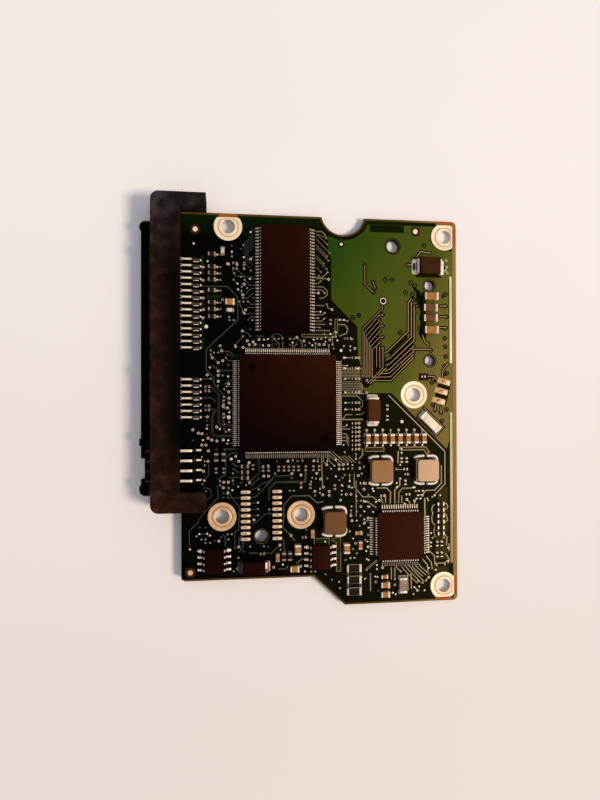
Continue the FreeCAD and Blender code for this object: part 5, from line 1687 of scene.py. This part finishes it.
@dataclass
class ScrewLands:
    """Plated lands round the screw holes on both sides, and the plating inside the holes."""

    outer: float = 2.925
    hole: float = 1.45
    plating: float = 0.04
    rim: float = 1.92
    groove: float = 2.1
    rim_lift: float = 0.085
    lift: float = 0.065
    groove_lift: float = 0.045
    edge_gap: float = 0.75
    bare_length: float = 3.8
    steps: int = 48

    def build(self) -> None:
        """Make all lands as one piece, and the bare laminate beside them as another."""
        lands = Draft("screw_land_rings", PLATING, LAND_GROOVE, TINNED)
        bare = Draft("bare_edges", WARM_LAMINATE)
        inner = self.hole - self.plating
        face = [(inner, self.groove_lift), (inner + 0.07, self.rim_lift), (self.rim - 0.06, self.rim_lift),
                (self.rim, self.groove_lift), (self.groove, self.groove_lift),
                (self.groove + 0.06, self.lift), (self.outer - 0.07, self.lift), (self.outer, 0.0)]
        # The groove and the rim's outer slope take the darker groove finish.
        darker_bands = [0, 0, 0, 1, 1, 0, 0]
        profile = [(r, BACK - z) for r, z in reversed(face)] + [(r, FACE + z) for r, z in face]
        for spot in screw_spots():
            rings = [[self._point(spot, math.tau * k / self.steps, r, z) for k in range(self.steps)]
                     for r, z in profile]
            lands.loft(rings, [*darker_bands[::-1], 2, *darker_bands, 0], wrap=True)
            self._bare_edges(bare, spot)
        lands.build("bare_plating", "screw_lands")
        bare.build("solder_mask")

    def _bare_edges(self, bare: Draft, spot: Vector) -> None:
        """Show the bare laminate where a land comes near the board's edge.

        Args:
            bare: The mesh that it joins.
            spot: The hole's centre.
        """
        for axis, edge in ((0, BOARD.high.x), (1, BOARD.high.y), (1, BOARD.low.y)):
            if abs(edge - spot[axis]) < self.outer + self.edge_gap:
                middle = spot.copy()
                middle[axis] = edge - math.copysign(self.edge_gap * 0.55, edge - spot[axis])
                size = [self.bare_length, self.bare_length]
                size[axis] = self.edge_gap * 0.9
                bare.plate(rectangle(middle, *size, 0.2), FACE, Layer.POUR.top)

    def _point(self, spot: Vector, angle: float, radius: float, height: float) -> Vector:
        """Return a point of a land, drawn in where the land would reach the board's edge.

        Args:
            spot: The hole's centre.
            angle: Direction from the centre.
            radius: The full radius.
            height: The point's height.

        Returns:
            The point.
        """
        ahead = ray(angle)
        limit = self.outer
        for axis in (0, 1):
            edge = BOARD.high[axis] if ahead[axis] > 0 else BOARD.low[axis]
            if abs(ahead[axis]) > 1e-6:
                limit = min(limit, (abs(edge - spot[axis]) - self.edge_gap) / abs(ahead[axis]))
        kept = self.hole + (radius - self.hole) * (limit - self.hole) / (self.outer - self.hole)
        at = spot + ahead * (kept if radius > self.hole else radius)
        return Vector((at.x, at.y, height))


@dataclass
class ContactPads:
    """Bare pads that springs press on, and the bare strips along the board's edge."""

    lift: float = 0.085
    ease: float = 0.07
    corner: float = 0.24
    mark: Point = (0.5, 0.16)
    motor_marks: tuple = (((-0.25, 0.05), 0.3, 0), ((0.15, 0.12), 0.2, 0), ((0.9, -0.3), 0.36, 1))

    def build(self) -> None:
        """Make the head contacts, the motor contacts and the strips."""
        pads = Draft("head_pads", HEAD_PLATING, WORN_PLATING)
        top = FACE + self.lift
        for block in loose_blocks("head_contact_pads"):
            pads.pad(block, self.corner, self.ease, top, 0.03, 2)
            pads.plate(rectangle(block.centre, *self.mark, 0.07), top - 0.01, top + 0.004, 1)
        pads.build("bare_plating", "head_contact_pads")
        eased_copy("motor_contact_pads", "motor_pads", SPRING_PAD, 0.02)
        marks = Draft("motor_pad_marks", WORN_PLATING, BRIGHT_SOLDER)
        for block in loose_blocks("motor_contact_pads"):
            top = block.high.z
            for shift, radius, slot in self.motor_marks:
                spot = block.centre.xy + Vector(shift)
                marks.turned(spot, [(radius, top - 0.01), (radius * 0.8, top + 0.006)], slot)
        marks.build("bare_plating")
        eased_copy("edge_ground_strips", "edge_strips", STRIP_PLATING, 0.015)


@dataclass
class Connector:
    """Edge connector: moulding, flat blades with bent tails, square jumper pins, solder at each foot."""

    ease: float = 0.12
    drop_run: float = 0.8
    foot: float = 0.8
    bend: float = 0.3
    sheet: float = 0.25
    pin: float = 0.5
    tail: float = 0.56
    rear: float = -8.2
    skirt: float = 0.2
    side: float = 0.04
    # Widths and reach of the painted highlights on the flat tails.
    highlight_ridge: float = 0.33
    highlight_flare: float = 0.22
    dot: float = 0.23
    bead: float = 0.06
    recess: tuple[Vector, ...] = pairs(-9.4, -44.2, -6.6, -39.0)
    wall: float = 0.5

    def build(self) -> None:
        """Make the moulding and its contacts."""
        eased_copy("connector_housing", "connector_moulding", HOUSING, self.ease)
        for node, name, sheet in (("power_contact_blades", "power_contacts", self.sheet),
                                  ("signal_contact_blades", "signal_contacts", self.sheet),
                                  ("jumper_block_pins", "jumper_pins", self.pin)):
            contacts = Draft(name, CONTACT, BRIGHT_SOLDER, METAL_IN_PAINTED_SHADE, TAIL_IN_PAINTED_SHADE)
            for block in loose_blocks(node):
                self._contact(contacts, block, sheet)
            contacts.build("contact_metal", node)
        self._recess_floor()

    def _recess_floor(self) -> None:
        """Close the jumper recess from below, under its pins."""
        low, high = self.recess
        bottom = Block.of_node("connector_housing").low.z
        floor = Draft("jumper_recess_floor", HOUSING)
        floor.box(Vector((*low, bottom)), Vector((*high, bottom + self.wall)), self.ease * 0.5)
        floor.build("connector_plastic")

    def _contact(self, draft: Draft, block: Block, sheet: float) -> None:
        """Add one bent contact with the solder round its foot.

        Args:
            draft: The mesh that it joins.
            block: The contact's box.
            sheet: Its thickness.
        """
        length, width, middle = block.size.x, block.size.y, block.centre.y
        high, low = block.high.z - sheet / 2, FACE + sheet / 2
        start = self.rear - block.low.x
        drop = length - self.foot - self.drop_run
        way = vectors((start, high), (drop, high), (length - self.foot, low), (length, low))
        path = rounded(way, self.bend, 4)
        origin = Vector((block.low.x, middle))
        ease = min(sheet, width) * 0.2
        flat = sheet < self.pin
        blade = vectors((0.0, high), (start * 0.5, high), (start, high))
        # Jumper pins' blades take the dark finish: painted shade for the recess they stand in.
        draft.strip(blade, sheet, width, origin, RIGHT, (0, 0, 0) if flat else (2, 2, 2), ease)
        width = min(width, self.tail)
        # Flat tails take dark finishes on their level part, bends and feet as painted shade; jumper pins take
        # it on their bends.
        draft.strip(path, sheet, width, origin, RIGHT, (3, 2, 2) if flat else (0, 2, 0), ease)
        if flat:
            # Painted highlights: a bright ridge along the tail's top, a wider bright flare near the moulding,
            # and a bright line along the near side of the foot.
            top = block.high.z
            for reach, wide in ((drop - self.bend * 0.3, self.highlight_ridge), (start + self.highlight_flare, width)):
                draft.strip(vectors((start, top), (reach, top)), 0.03, wide, origin, RIGHT)
            near = origin - Vector((0.0, width / 2 + self.bead))
            run = vectors((length - self.foot - self.drop_run * 0.6, FACE + sheet * 0.8),
                          (length - self.foot * 0.3, FACE + sheet * 0.3))
            draft.strip(run, self.bead, 2 * self.bead, near, RIGHT, (1, 1, 1))
        toe = [(self.dot, FACE), (self.dot * 0.9, FACE + sheet * 0.5), (self.dot * 0.4, FACE + sheet)]
        draft.turned(Vector((block.high.x + self.dot * 0.4, middle)), toe, 1, 12)
        at = Vector((block.high.x - self.foot / 2, middle))
        # The solder at the foot takes the dark tail finish as painted shade.
        draft.skirt(at, self.foot, width, sheet * 0.9, RIGHT, self.skirt, self.side, 3)
        draft.skirt(at, self.foot, width, sheet * 0.7, -RIGHT, self.skirt * 0.6, self.side, 3)


@dataclass
class LeadedPackage:
    """A moulded package with gull-wing leads and the solder at their toes."""

    kind: str
    foot: float
    sheet: float
    toe: float = 0.28
    ease: float = 0.09
    bend: float = 0.14
    dimples: tuple[Point, ...] = ()
    dimple: float = 0.82
    body: Finish = RESIN
    blob: float = 0.0
    level: float = 0.58
    glint_knob: float = 0.0
    first_row: float = 1.0
    # Finishes by heading paint light and shade: metal for feet that head up, sides for left and right, and a
    # dark lead for feet that head down.
    metal: Finish = LEAD
    solder: Finish = DULL_TIN
    shoulder: Finish = TINNED
    sides: Finish = LEAD

    def build(self) -> None:
        """Make the body and its leads."""
        eased_copy(f"{self.kind}_package", f"{self.kind}_body", self.body, self.ease, 3)
        self.box = Block.of_node(f"{self.kind}_package")
        top = self.box.high.z
        profile = [(self.dimple, top - 0.25), (self.dimple, top - 0.03), (self.dimple * 0.5, top - 0.045)]
        for number, step in enumerate(self.dimples):
            floor = Draft(f"{self.kind}_dimple_{number}", DIMPLE)
            floor.turned(self.box.centre.xy + Vector(step), profile, steps=28)
            floor.build("package_resin")
        metals = (self.metal, self.solder, METAL_IN_PAINTED_SHADE, self.shoulder, LEAD_IN_PAINTED_SHADE, self.sides)
        leads = Draft(f"{self.kind}_wings", *metals)
        for block in loose_blocks(f"{self.kind}_leads"):
            self._lead(leads, block, self.box.centre.xy)
        leads.build("lead_metal", f"{self.kind}_leads", smooth_deg=50.0)

    def _lead(self, draft: Draft, block: Block, middle: Vector) -> None:
        """Add one lead that heads away from the package's middle.

        Args:
            draft: The mesh that it joins.
            block: The lead's box.
            middle: The package's middle.
        """
        width, reach = sorted(block.size.xy)
        at = block.centre.xy
        out = heading(block, middle)
        root = at - out * reach / 2
        high, low = block.high.z - self.sheet / 2, FACE + self.sheet / 2 + Layer.PAD.value * 0.3
        run = reach - self.foot
        way = vectors((-0.05, high), (run * self.level, high), (run, low), (reach, low))
        path = rounded(way, self.bend, 3)
        # Painted light and shade: a foot's finish follows its heading; with a blob every foot takes the metal
        # finish.
        metal = 0 if self.blob else 5 if abs(out.x) > 0.5 else 0 if out.y > 0.5 else 4
        draft.strip(path, self.sheet, width, root, out, (3, 2, metal))
        foot = root + out * (reach - self.foot / 2)
        draft.skirt(foot, self.foot, width, self.sheet * 0.8, out, self.toe, 0.0, 4 if metal == 4 else 1)
        if self.blob:
            upper = at.y - middle.y > self.box.size.y * 0.3
            wide = self.blob * (self.first_row if upper else 1.0)
            self._dome(draft, foot + out * self.toe * 0.3, wide, FACE, 0.34, 1)
        # Painted highlight: a bright round knob on the lead's shoulder.
        if self.glint_knob:
            self._dome(draft, root + out * max(run * self.level * 0.5, self.glint_knob), self.glint_knob, high, 0.14, 3)

    @staticmethod
    def _dome(draft: Draft, at: Vector, radius: float, low: float, height: float, slot: int) -> None:
        """Add a round drop of metal: solder at a toe, or a bright knob on a shoulder as a painted highlight.
        """
        profile = [(radius, low), (radius * 0.92, low + height * 0.6), (radius * 0.45, low + height)]
        draft.turned(at, profile, slot, 12)


def leaded_packages() -> list[LeadedPackage]:
    """Return every package with leads."""
    return [
        LeadedPackage("controller", 0.6, 0.13, dimples=((-7.4, 7.4), (7.4, -7.4)), body=CONTROLLER_RESIN,
                      metal=TINNED),
        LeadedPackage("memory", 0.5, 0.13, body=MEMORY_RESIN),
        LeadedPackage("driver", 0.45, 0.13, 0.42, level=0.7, glint_knob=0.14, metal=TINNED, shoulder=BRIGHT_SOLDER,
                      sides=LEAD_IN_PAINTED_SHADE),
        LeadedPackage("flash", 0.65, 0.2, 0.35, solder=BRIGHT_SOLDER, blob=0.27, glint_knob=0.16, first_row=1.5),
        LeadedPackage("switch", 0.65, 0.2, 0.35, solder=BRIGHT_SOLDER, blob=0.28, glint_knob=0.16, first_row=1.4),
    ]


@dataclass
class Inductor:
    """A drum core with its winding and four folded terminals in solder."""

    number: int
    finish: Finish
    coils: int = 4
    bore: float = 0.6
    ease: float = 0.14
    corner: float = 0.72
    dome: float = 0.15
    base: float = 0.3
    bead: float = 0.66
    bead_height: float = 0.5
    right_way: tuple[Point, ...] = ((0.45, 2.92), (1.5, 2.96), (2.26, 2.72), (2.5, 2.1), (2.5, 1.6))
    left_way: tuple[Point, ...] = ((-0.5, 2.92), (-1.5, 2.9), (-2.3, 2.62))

    def build(self) -> None:
        """Make the core, the winding and the terminals."""
        name = f"inductor_{self.number}"
        eased_copy(f"{name}_core", f"{name}_drum", self.finish, self.ease, 3)
        self._winding(name)
        self._terminals(name)

    def _winding(self, name: str) -> None:
        """Wind the wire: one round rib for each coil.

        Args:
            name: The inductor's name.
        """
        block = Block.of_node(f"{name}_winding")
        outer = block.size.x / 2
        wire = block.size.z / self.coils / 2
        ribs = []
        for k in range(self.coils):
            middle = block.low.z + wire * (2 * k + 1)
            ribs += [(outer - wire + wire * math.cos(a), middle + wire * math.sin(a))
                     for a in map(math.radians, range(-75, 76, 30))]
        profile = [(outer * self.bore, block.low.z), *ribs, (outer * self.bore, block.high.z)]
        wound = Draft(f"{name}_wire", COPPER_WIRE)
        wound.turned(block.centre, profile, 0, 40, True)
        wound.build("winding_copper", f"{name}_winding")

    def _terminals(self, name: str) -> None:
        """Make the terminals as low pads whose dark finish is painted shade, and a line of solder along their
        outer edges whose bright finish is a painted highlight.

        Args:
            name: The inductor's name.
        """
        # Painted shade: the terminal pads wear dark metal; the solder line along their outer edge wears bright
        # solder as a painted highlight.
        clips = Draft(f"{name}_clips", METAL_IN_PAINTED_SHADE, BRIGHT_SOLDER)
        core = Block.of_node(f"{name}_core").centre.xy
        for block in loose_blocks(f"{name}_terminals"):
            at = block.centre
            top = FACE + (block.high.z - FACE) * self.base
            clips.pad(block, self.corner, self.dome, top, 0.1, 6)
            end = math.copysign(1.0, at.y - core.y)
            way = self.right_way if at.x > core.x else self.left_way
            path = [core + Vector((u, v * end)) for u, v in way]
            clips.bead(rounded(path, 0.8, 4), self.bead, self.bead_height, 1)
        clips.build("contact_metal", f"{name}_terminals")


@dataclass
class Diode:
    """A moulded block with a folded strip and solder at each end."""

    kind: str
    along: Vector
    finish: Finish
    ends: Finish = TINNED
    solder: Finish = TINNED
    spread: float = 0.6
    ease: float = 0.1
    gleam: Optional[Point] = None
    # Painted shadow at the left strip: a dark oval and plate, with a bright plate above as a painted
    # highlight.
    dip_shadow: bool = False

    def build(self) -> None:
        """Make the body, the strips and the solder."""
        name = f"{self.kind}_diode"
        eased_copy(f"{name}_body", f"{name}_block", self.finish, self.ease, 3)
        eased_copy(f"{name}_strips", f"{name}_ends", self.ends, 0.05)
        joint = Draft(f"{name}_solder", self.solder, METAL_IN_PAINTED_SHADE, BRIGHT_SOLDER)
        middle = Block.of_node(f"{name}_body").centre.xy
        for block in loose_blocks(f"{name}_strips"):
            low, high, at = block.low, block.high, block.centre.xy
            out = self.along * math.copysign(1.0, (at - middle).dot(self.along))
            reach, width = (abs(block.size.xy.dot(way)) for way in (self.along, self.along.orthogonal()))
            joint.skirt(at, reach, width, 0.5, out, self.spread, 0.1)
            # Painted highlight: a bright plate over part of the right strip's top.
            if self.gleam and out.x > 0:
                joint.box(Vector((low.x + 0.1, low.y + width * self.gleam[0], high.z - 0.05)),
                          Vector((high.x - 0.05, low.y + width * self.gleam[1], high.z + 0.02)), 0.02, 2)
            if self.dip_shadow and out.x < 0:
                self._dip_shadow(joint, block)
        joint.build("lead_metal")

    def _dip_shadow(self, joint: Draft, block: Block) -> None:
        """Add a dark oval and a dark plate at a strip's outer side as painted shadow, and a bright plate above
        them as a painted highlight.

        Args:
            joint: The mesh that they join.
            block: The strip's box.
        """
        middle, half = block.centre.y, block.size.y * 0.3
        edge, low, high = block.low.x, block.low.z, block.high.z
        centre = Vector((edge - self.spread * 0.4, middle))
        rings = [[centre + Vector((p.x * 0.4, p.y)) for p in circle(Vector((0.0, 0.0)), half * part)]
                 for part in (1.0, 0.9, 0.5)]
        joint.stack(list(zip(rings, (FACE, FACE + 0.26, FACE + 0.36))), 1)
        joint.box(Vector((edge - 0.03, middle - half, low + 0.3)),
                  Vector((edge + 0.05, middle + half, high - 0.15)), 0.03, 1)
        joint.box(Vector((edge + 0.08, middle - half * 1.5, high - 0.05)),
                  Vector((edge + 0.42, middle + half * 1.5, high + 0.02)), 0.02, 2)


@dataclass
class CappedBlock:
    """A ceramic block between two metal end caps, turned on the board."""

    kind: str
    body: Finish
    slot_name: str
    centre: Point
    length: float
    width: float
    turn: float
    band: float = 0.5
    caps: Finish = TINNED

    def build(self) -> None:
        """Make the block, its caps and the solder."""
        eased_copy(f"{self.kind}_body", f"{self.kind}_block", self.body, 0.06)
        eased_copy(f"{self.kind}_end_caps", f"{self.kind}_caps", self.caps, 0.08)
        joint = Draft(f"{self.kind}_solder", SOLDER)
        along = ray(math.radians(self.turn))
        for side in (-1, 1):
            spot = Vector(self.centre) + along * side * (self.length - self.band) / 2
            joint.skirt(spot, self.band, self.width, 0.7, along * side, 0.3, 0.08)
        joint.build("contact_metal")


# Chip parts whose bodies are tan or pale, among dark ones of the same size.
TAN_SPOTS = pairs(17.4, -60.6, 24.65, -55.95, 34.25, -56, 34.7, -58.6, 39.75, -65.3)
PALE_SPOTS = pairs(6.3, 2, 7.75, -10)


@dataclass
class ChipGroup:
    """Chip parts of one CAD node: ceramic bodies, wrapped ends with painted glints, and solder; left ends and
    sides can take painted shade.
    """

    node: str
    body: Finish
    slot_name: str
    top: Finish
    band: float = 0.24
    ends: Finish = TINNED
    solder: Finish = END_CAP
    swell: float = 0.02
    glaze: float = 0.0
    glint: float = 0.0
    shade: float = 0.0
    spread: float = 0.1
    side: float = 0.03
    seed: int = 5

    def build(self) -> None:
        """Make every chip of the node as one piece."""
        looks = (self.body, self.ends, self.solder, self.top, DULL_TIN, TAN_CERAMIC, PALE_CERAMIC, METAL_IN_PAINTED_SHADE)
        chips = Draft(f"{self.node}_dressed", *looks)
        draw = random.Random(self.seed)
        for block in loose_blocks(self.node):
            self._chip(chips, block, draw)
        chips.build(self.slot_name, self.node)

    def _chip(self, draft: Draft, block: Block, draw: random.Random) -> None:
        """Add one chip with its two ends.

        Args:
            draft: The mesh that it joins.
            block: The chip's box.
            draw: What decides where a glint lies.
        """
        size, at, top = block.size, block.centre.xy, block.high.z
        flat = size.x > size.y
        along, across = (RIGHT, UP) if flat else (UP, RIGHT)
        width, length = sorted(size.xy)
        inset = Vector((self.swell, self.swell, self.swell))
        tone = self._tone(at)
        draft.box(block.low + inset, block.high - inset, min(width, size.z) * 0.1, tone)
        band = length * self.band
        if self.glaze and not tone:
            draft.tile(at, along * (length - 2 * band) + across * width * 0.92, top, self.glaze, 3)
        for side in (-1, 1):
            spot = at + along * side * (length - band) / 2
            half = (along * band + across * width) / 2
            low = Vector((*(spot - half), block.low.z))
            # Painted shade: the left end of a chip that lies along X, and its solder, take the dark finish,
            # with a bright plate on its top as painted light.
            dark = flat and side < 0
            end, solder = (7, 7) if dark else (1, 2)
            draft.box(low, Vector((*(spot + half), top)), min(band, width, size.z) * 0.16, end)
            draft.skirt(spot, band, width, size.z * 0.5, along * side, self.spread, self.side, solder)
            if dark:
                rest = along * band * 0.55 + across * width * 0.9
                draft.tile(spot + along * band * 0.2, rest, top, 0.01, 1)
            if draw.random() < self.glint:
                glint = along * band * 0.6 + across * width * draw.uniform(0.5, 0.85)
                draft.tile(spot, glint, top, 0.014, 4)
        # Painted shade: a dark plate in the top finish over the left part of the chip.
        if self.shade:
            left = at - RIGHT * size.x * (1 - self.shade) / 2
            draft.tile(left, along * length + across * size.x * self.shade, top, 0.02, 3)

    @staticmethod
    def _tone(at: Vector) -> int:
        """Return the finish of a body at a place: dark, tan or pale.

        Args:
            at: The place.

        Returns:
            The finish's slot.
        """
        for slot, spots in ((5, TAN_SPOTS), (6, PALE_SPOTS)):
            if any((at - spot).length < 0.5 for spot in spots):
                return slot
        return 0


def chip_groups() -> list[ChipGroup]:
    """Return every group of chip parts with its look."""
    groups = []
    for number in range(1, 5):
        body = TAN_CERAMIC if number in (1, 4) else BROWN_CERAMIC
        groups.append(ChipGroup(f"bulk_capacitor_{number}", body, "capacitor_ceramic", BROWN_CERAMIC, 0.17))
    for number in range(1, 9):
        # Output capacitors: the RESIN top finish paints shade over their left side.
        groups.append(ChipGroup(f"output_capacitor_{number}", TAN_CERAMIC, "capacitor_ceramic", RESIN, 0.22,
                                BRIGHT_SOLDER, TINNED, shade=0.24, seed=number))
    for number in range(1, 4):
        groups.append(ChipGroup(f"sense_resistor_{number}", CREAM_CERAMIC, "resistor_ceramic", BLACK_GLAZE,
                                0.15, glaze=0.02, glint=0.5, seed=number))
    return groups + [
        ChipGroup("filter_capacitors", TAN_CERAMIC, "capacitor_ceramic", TAN_CERAMIC, 0.22),
        ChipGroup("line_chips", GREY_CERAMIC, "resistor_ceramic", BLACK_GLAZE, 0.24, END_CAP, glaze=0.015,
                  glint=0.75),
        ChipGroup("termination_resistors", GREY_CERAMIC, "resistor_ceramic", BLACK_GLAZE, 0.26, END_CAP,
                  glaze=0.012, glint=0.6),
        ChipGroup("bypass_capacitors", DARK_CERAMIC, "capacitor_ceramic", DARK_CERAMIC, 0.3, END_CAP,
                  glint=0.85),
    ]


@dataclass
class Studio:
    """Floor, lamps and camera at the photograph's viewing angle."""

    camera_mm: Triple = (0.261, 22.594, 123.966)
    camera_turn_deg: Triple = (0.519, -7.288, -0.138)
    lens_mm: float = 27.0
    sensor_mm: float = 36.0
    near_m: float = 0.005
    floor_half_m: float = 1.2
    back_lift_mm: float = 0.08
    key_power: float = 35.0
    key_size_m: float = 0.5
    key_at_m: Triple = (1.32, -0.40, 1.68)
    key_colour: Triple = (1.0, 0.83, 0.68)
    horizon: Triple = (0.21, 0.205, 0.22)
    zenith: Triple = (0.62, 0.61, 0.66)
    backdrop: Triple = (0.89, 0.80, 0.77)

    def build(self) -> None:
        """Set up everything that isn't the object."""
        self._camera()
        self._floor()
        self._lamps()

    def _camera(self) -> None:
        """Place the camera; the long side of the picture is upright."""
        data = bpy.data.cameras.new("camera")
        data.sensor_fit = "VERTICAL"
        data.sensor_height = self.sensor_mm
        data.lens = self.lens_mm
        data.clip_start = self.near_m
        camera = put("camera", data)
        camera.location = Vector(self.camera_mm) * MM
        camera.rotation_euler = [math.radians(a) for a in self.camera_turn_deg]
        bpy.context.scene.camera = camera

    def _floor(self) -> None:
        """Lay the floor under the connector's lower side and the far edge of the board."""
        housing = Block.of_node("connector_housing")
        start, level = housing.high.x * MM, housing.low.z * MM
        slope = (BOARD.low.z - self.back_lift_mm - housing.low.z) / (BOARD.high.x - housing.high.x)
        half = self.floor_half_m
        corners = [(-half, -half), (half, -half), (half, half), (-half, half)]
        mesh = bpy.data.meshes.new("floor")
        mesh.from_pydata([(x, y, level + slope * (x - start)) for x, y in corners], [], [(0, 1, 2, 3)])
        FLOOR.dress(mesh)
        put("floor", mesh)

    def _lamps(self) -> None:
        """Set a warm lamp on the right and a cooler sky that is brightest overhead."""
        data = bpy.data.lights.new("key", "AREA")
        data.energy = self.key_power
        data.size = self.key_size_m
        data.color = self.key_colour
        key = put("key", data)
        key.location = self.key_at_m
        aim = Vector(BOARD.centre * MM) - Vector(self.key_at_m)
        key.rotation_euler = aim.to_track_quat("-Z", "Y").to_euler()
        world = bpy.data.worlds.new("studio")
        graph = Graph(world)
        facing = graph.add("TexCoord", {}, {}, "Generated")
        rise = graph.add("SeparateXYZ", {}, {0: facing}, "Z")
        overhead = graph.add("MapRange", {}, {0: rise, 1: 0.0, 2: 1.0})
        sky = graph.mix(overhead, self.horizon, self.zenith)
        seen = graph.add("LightPath", {}, {}, "Is Camera Ray")
        graph.feed(graph.shader.inputs["Color"], graph.mix(seen, sky, self.backdrop))
        bpy.context.scene.world = world
        bpy.context.scene.view_settings.view_transform = "Standard"


def main() -> None:
    """Build the board's pieces in order."""
    logging.basicConfig(level=logging.INFO)
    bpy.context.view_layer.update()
    pieces = [
        Studio(), PrintedBoard(), Undergrowth(), ScrewLands(), ContactPads(), Connector(),
        *leaded_packages(), Inductor(1, FERRITE), Inductor(2, PALE_FERRITE), Inductor(3, DEEP_FERRITE),
        Diode("surge", RIGHT, DIODE_RESIN, DULL_TIN, BRIGHT_SOLDER, 0.85, dip_shadow=True),
        Diode("flyback", UP, RED_RESIN),
        Diode("input", RIGHT, RESIN, SHADED_STRIP, SHADED_STRIP, gleam=(0.4, 0.98)),
        CappedBlock("shock_sensor", SENSOR_CERAMIC, "sensor_ceramic", (43.65, 18.95), 4.9, 1.8, -44.0, 0.7,
                    BRIGHT_SOLDER),
        CappedBlock("ferrite_bead", BEAD_CERAMIC, "bead_ceramic", (37.55, -15.15), 3.2, 1.6, 90.0),
        *chip_groups(),
    ]
    for piece in pieces:
        piece.build()


if __name__ == "__main__":
    main()
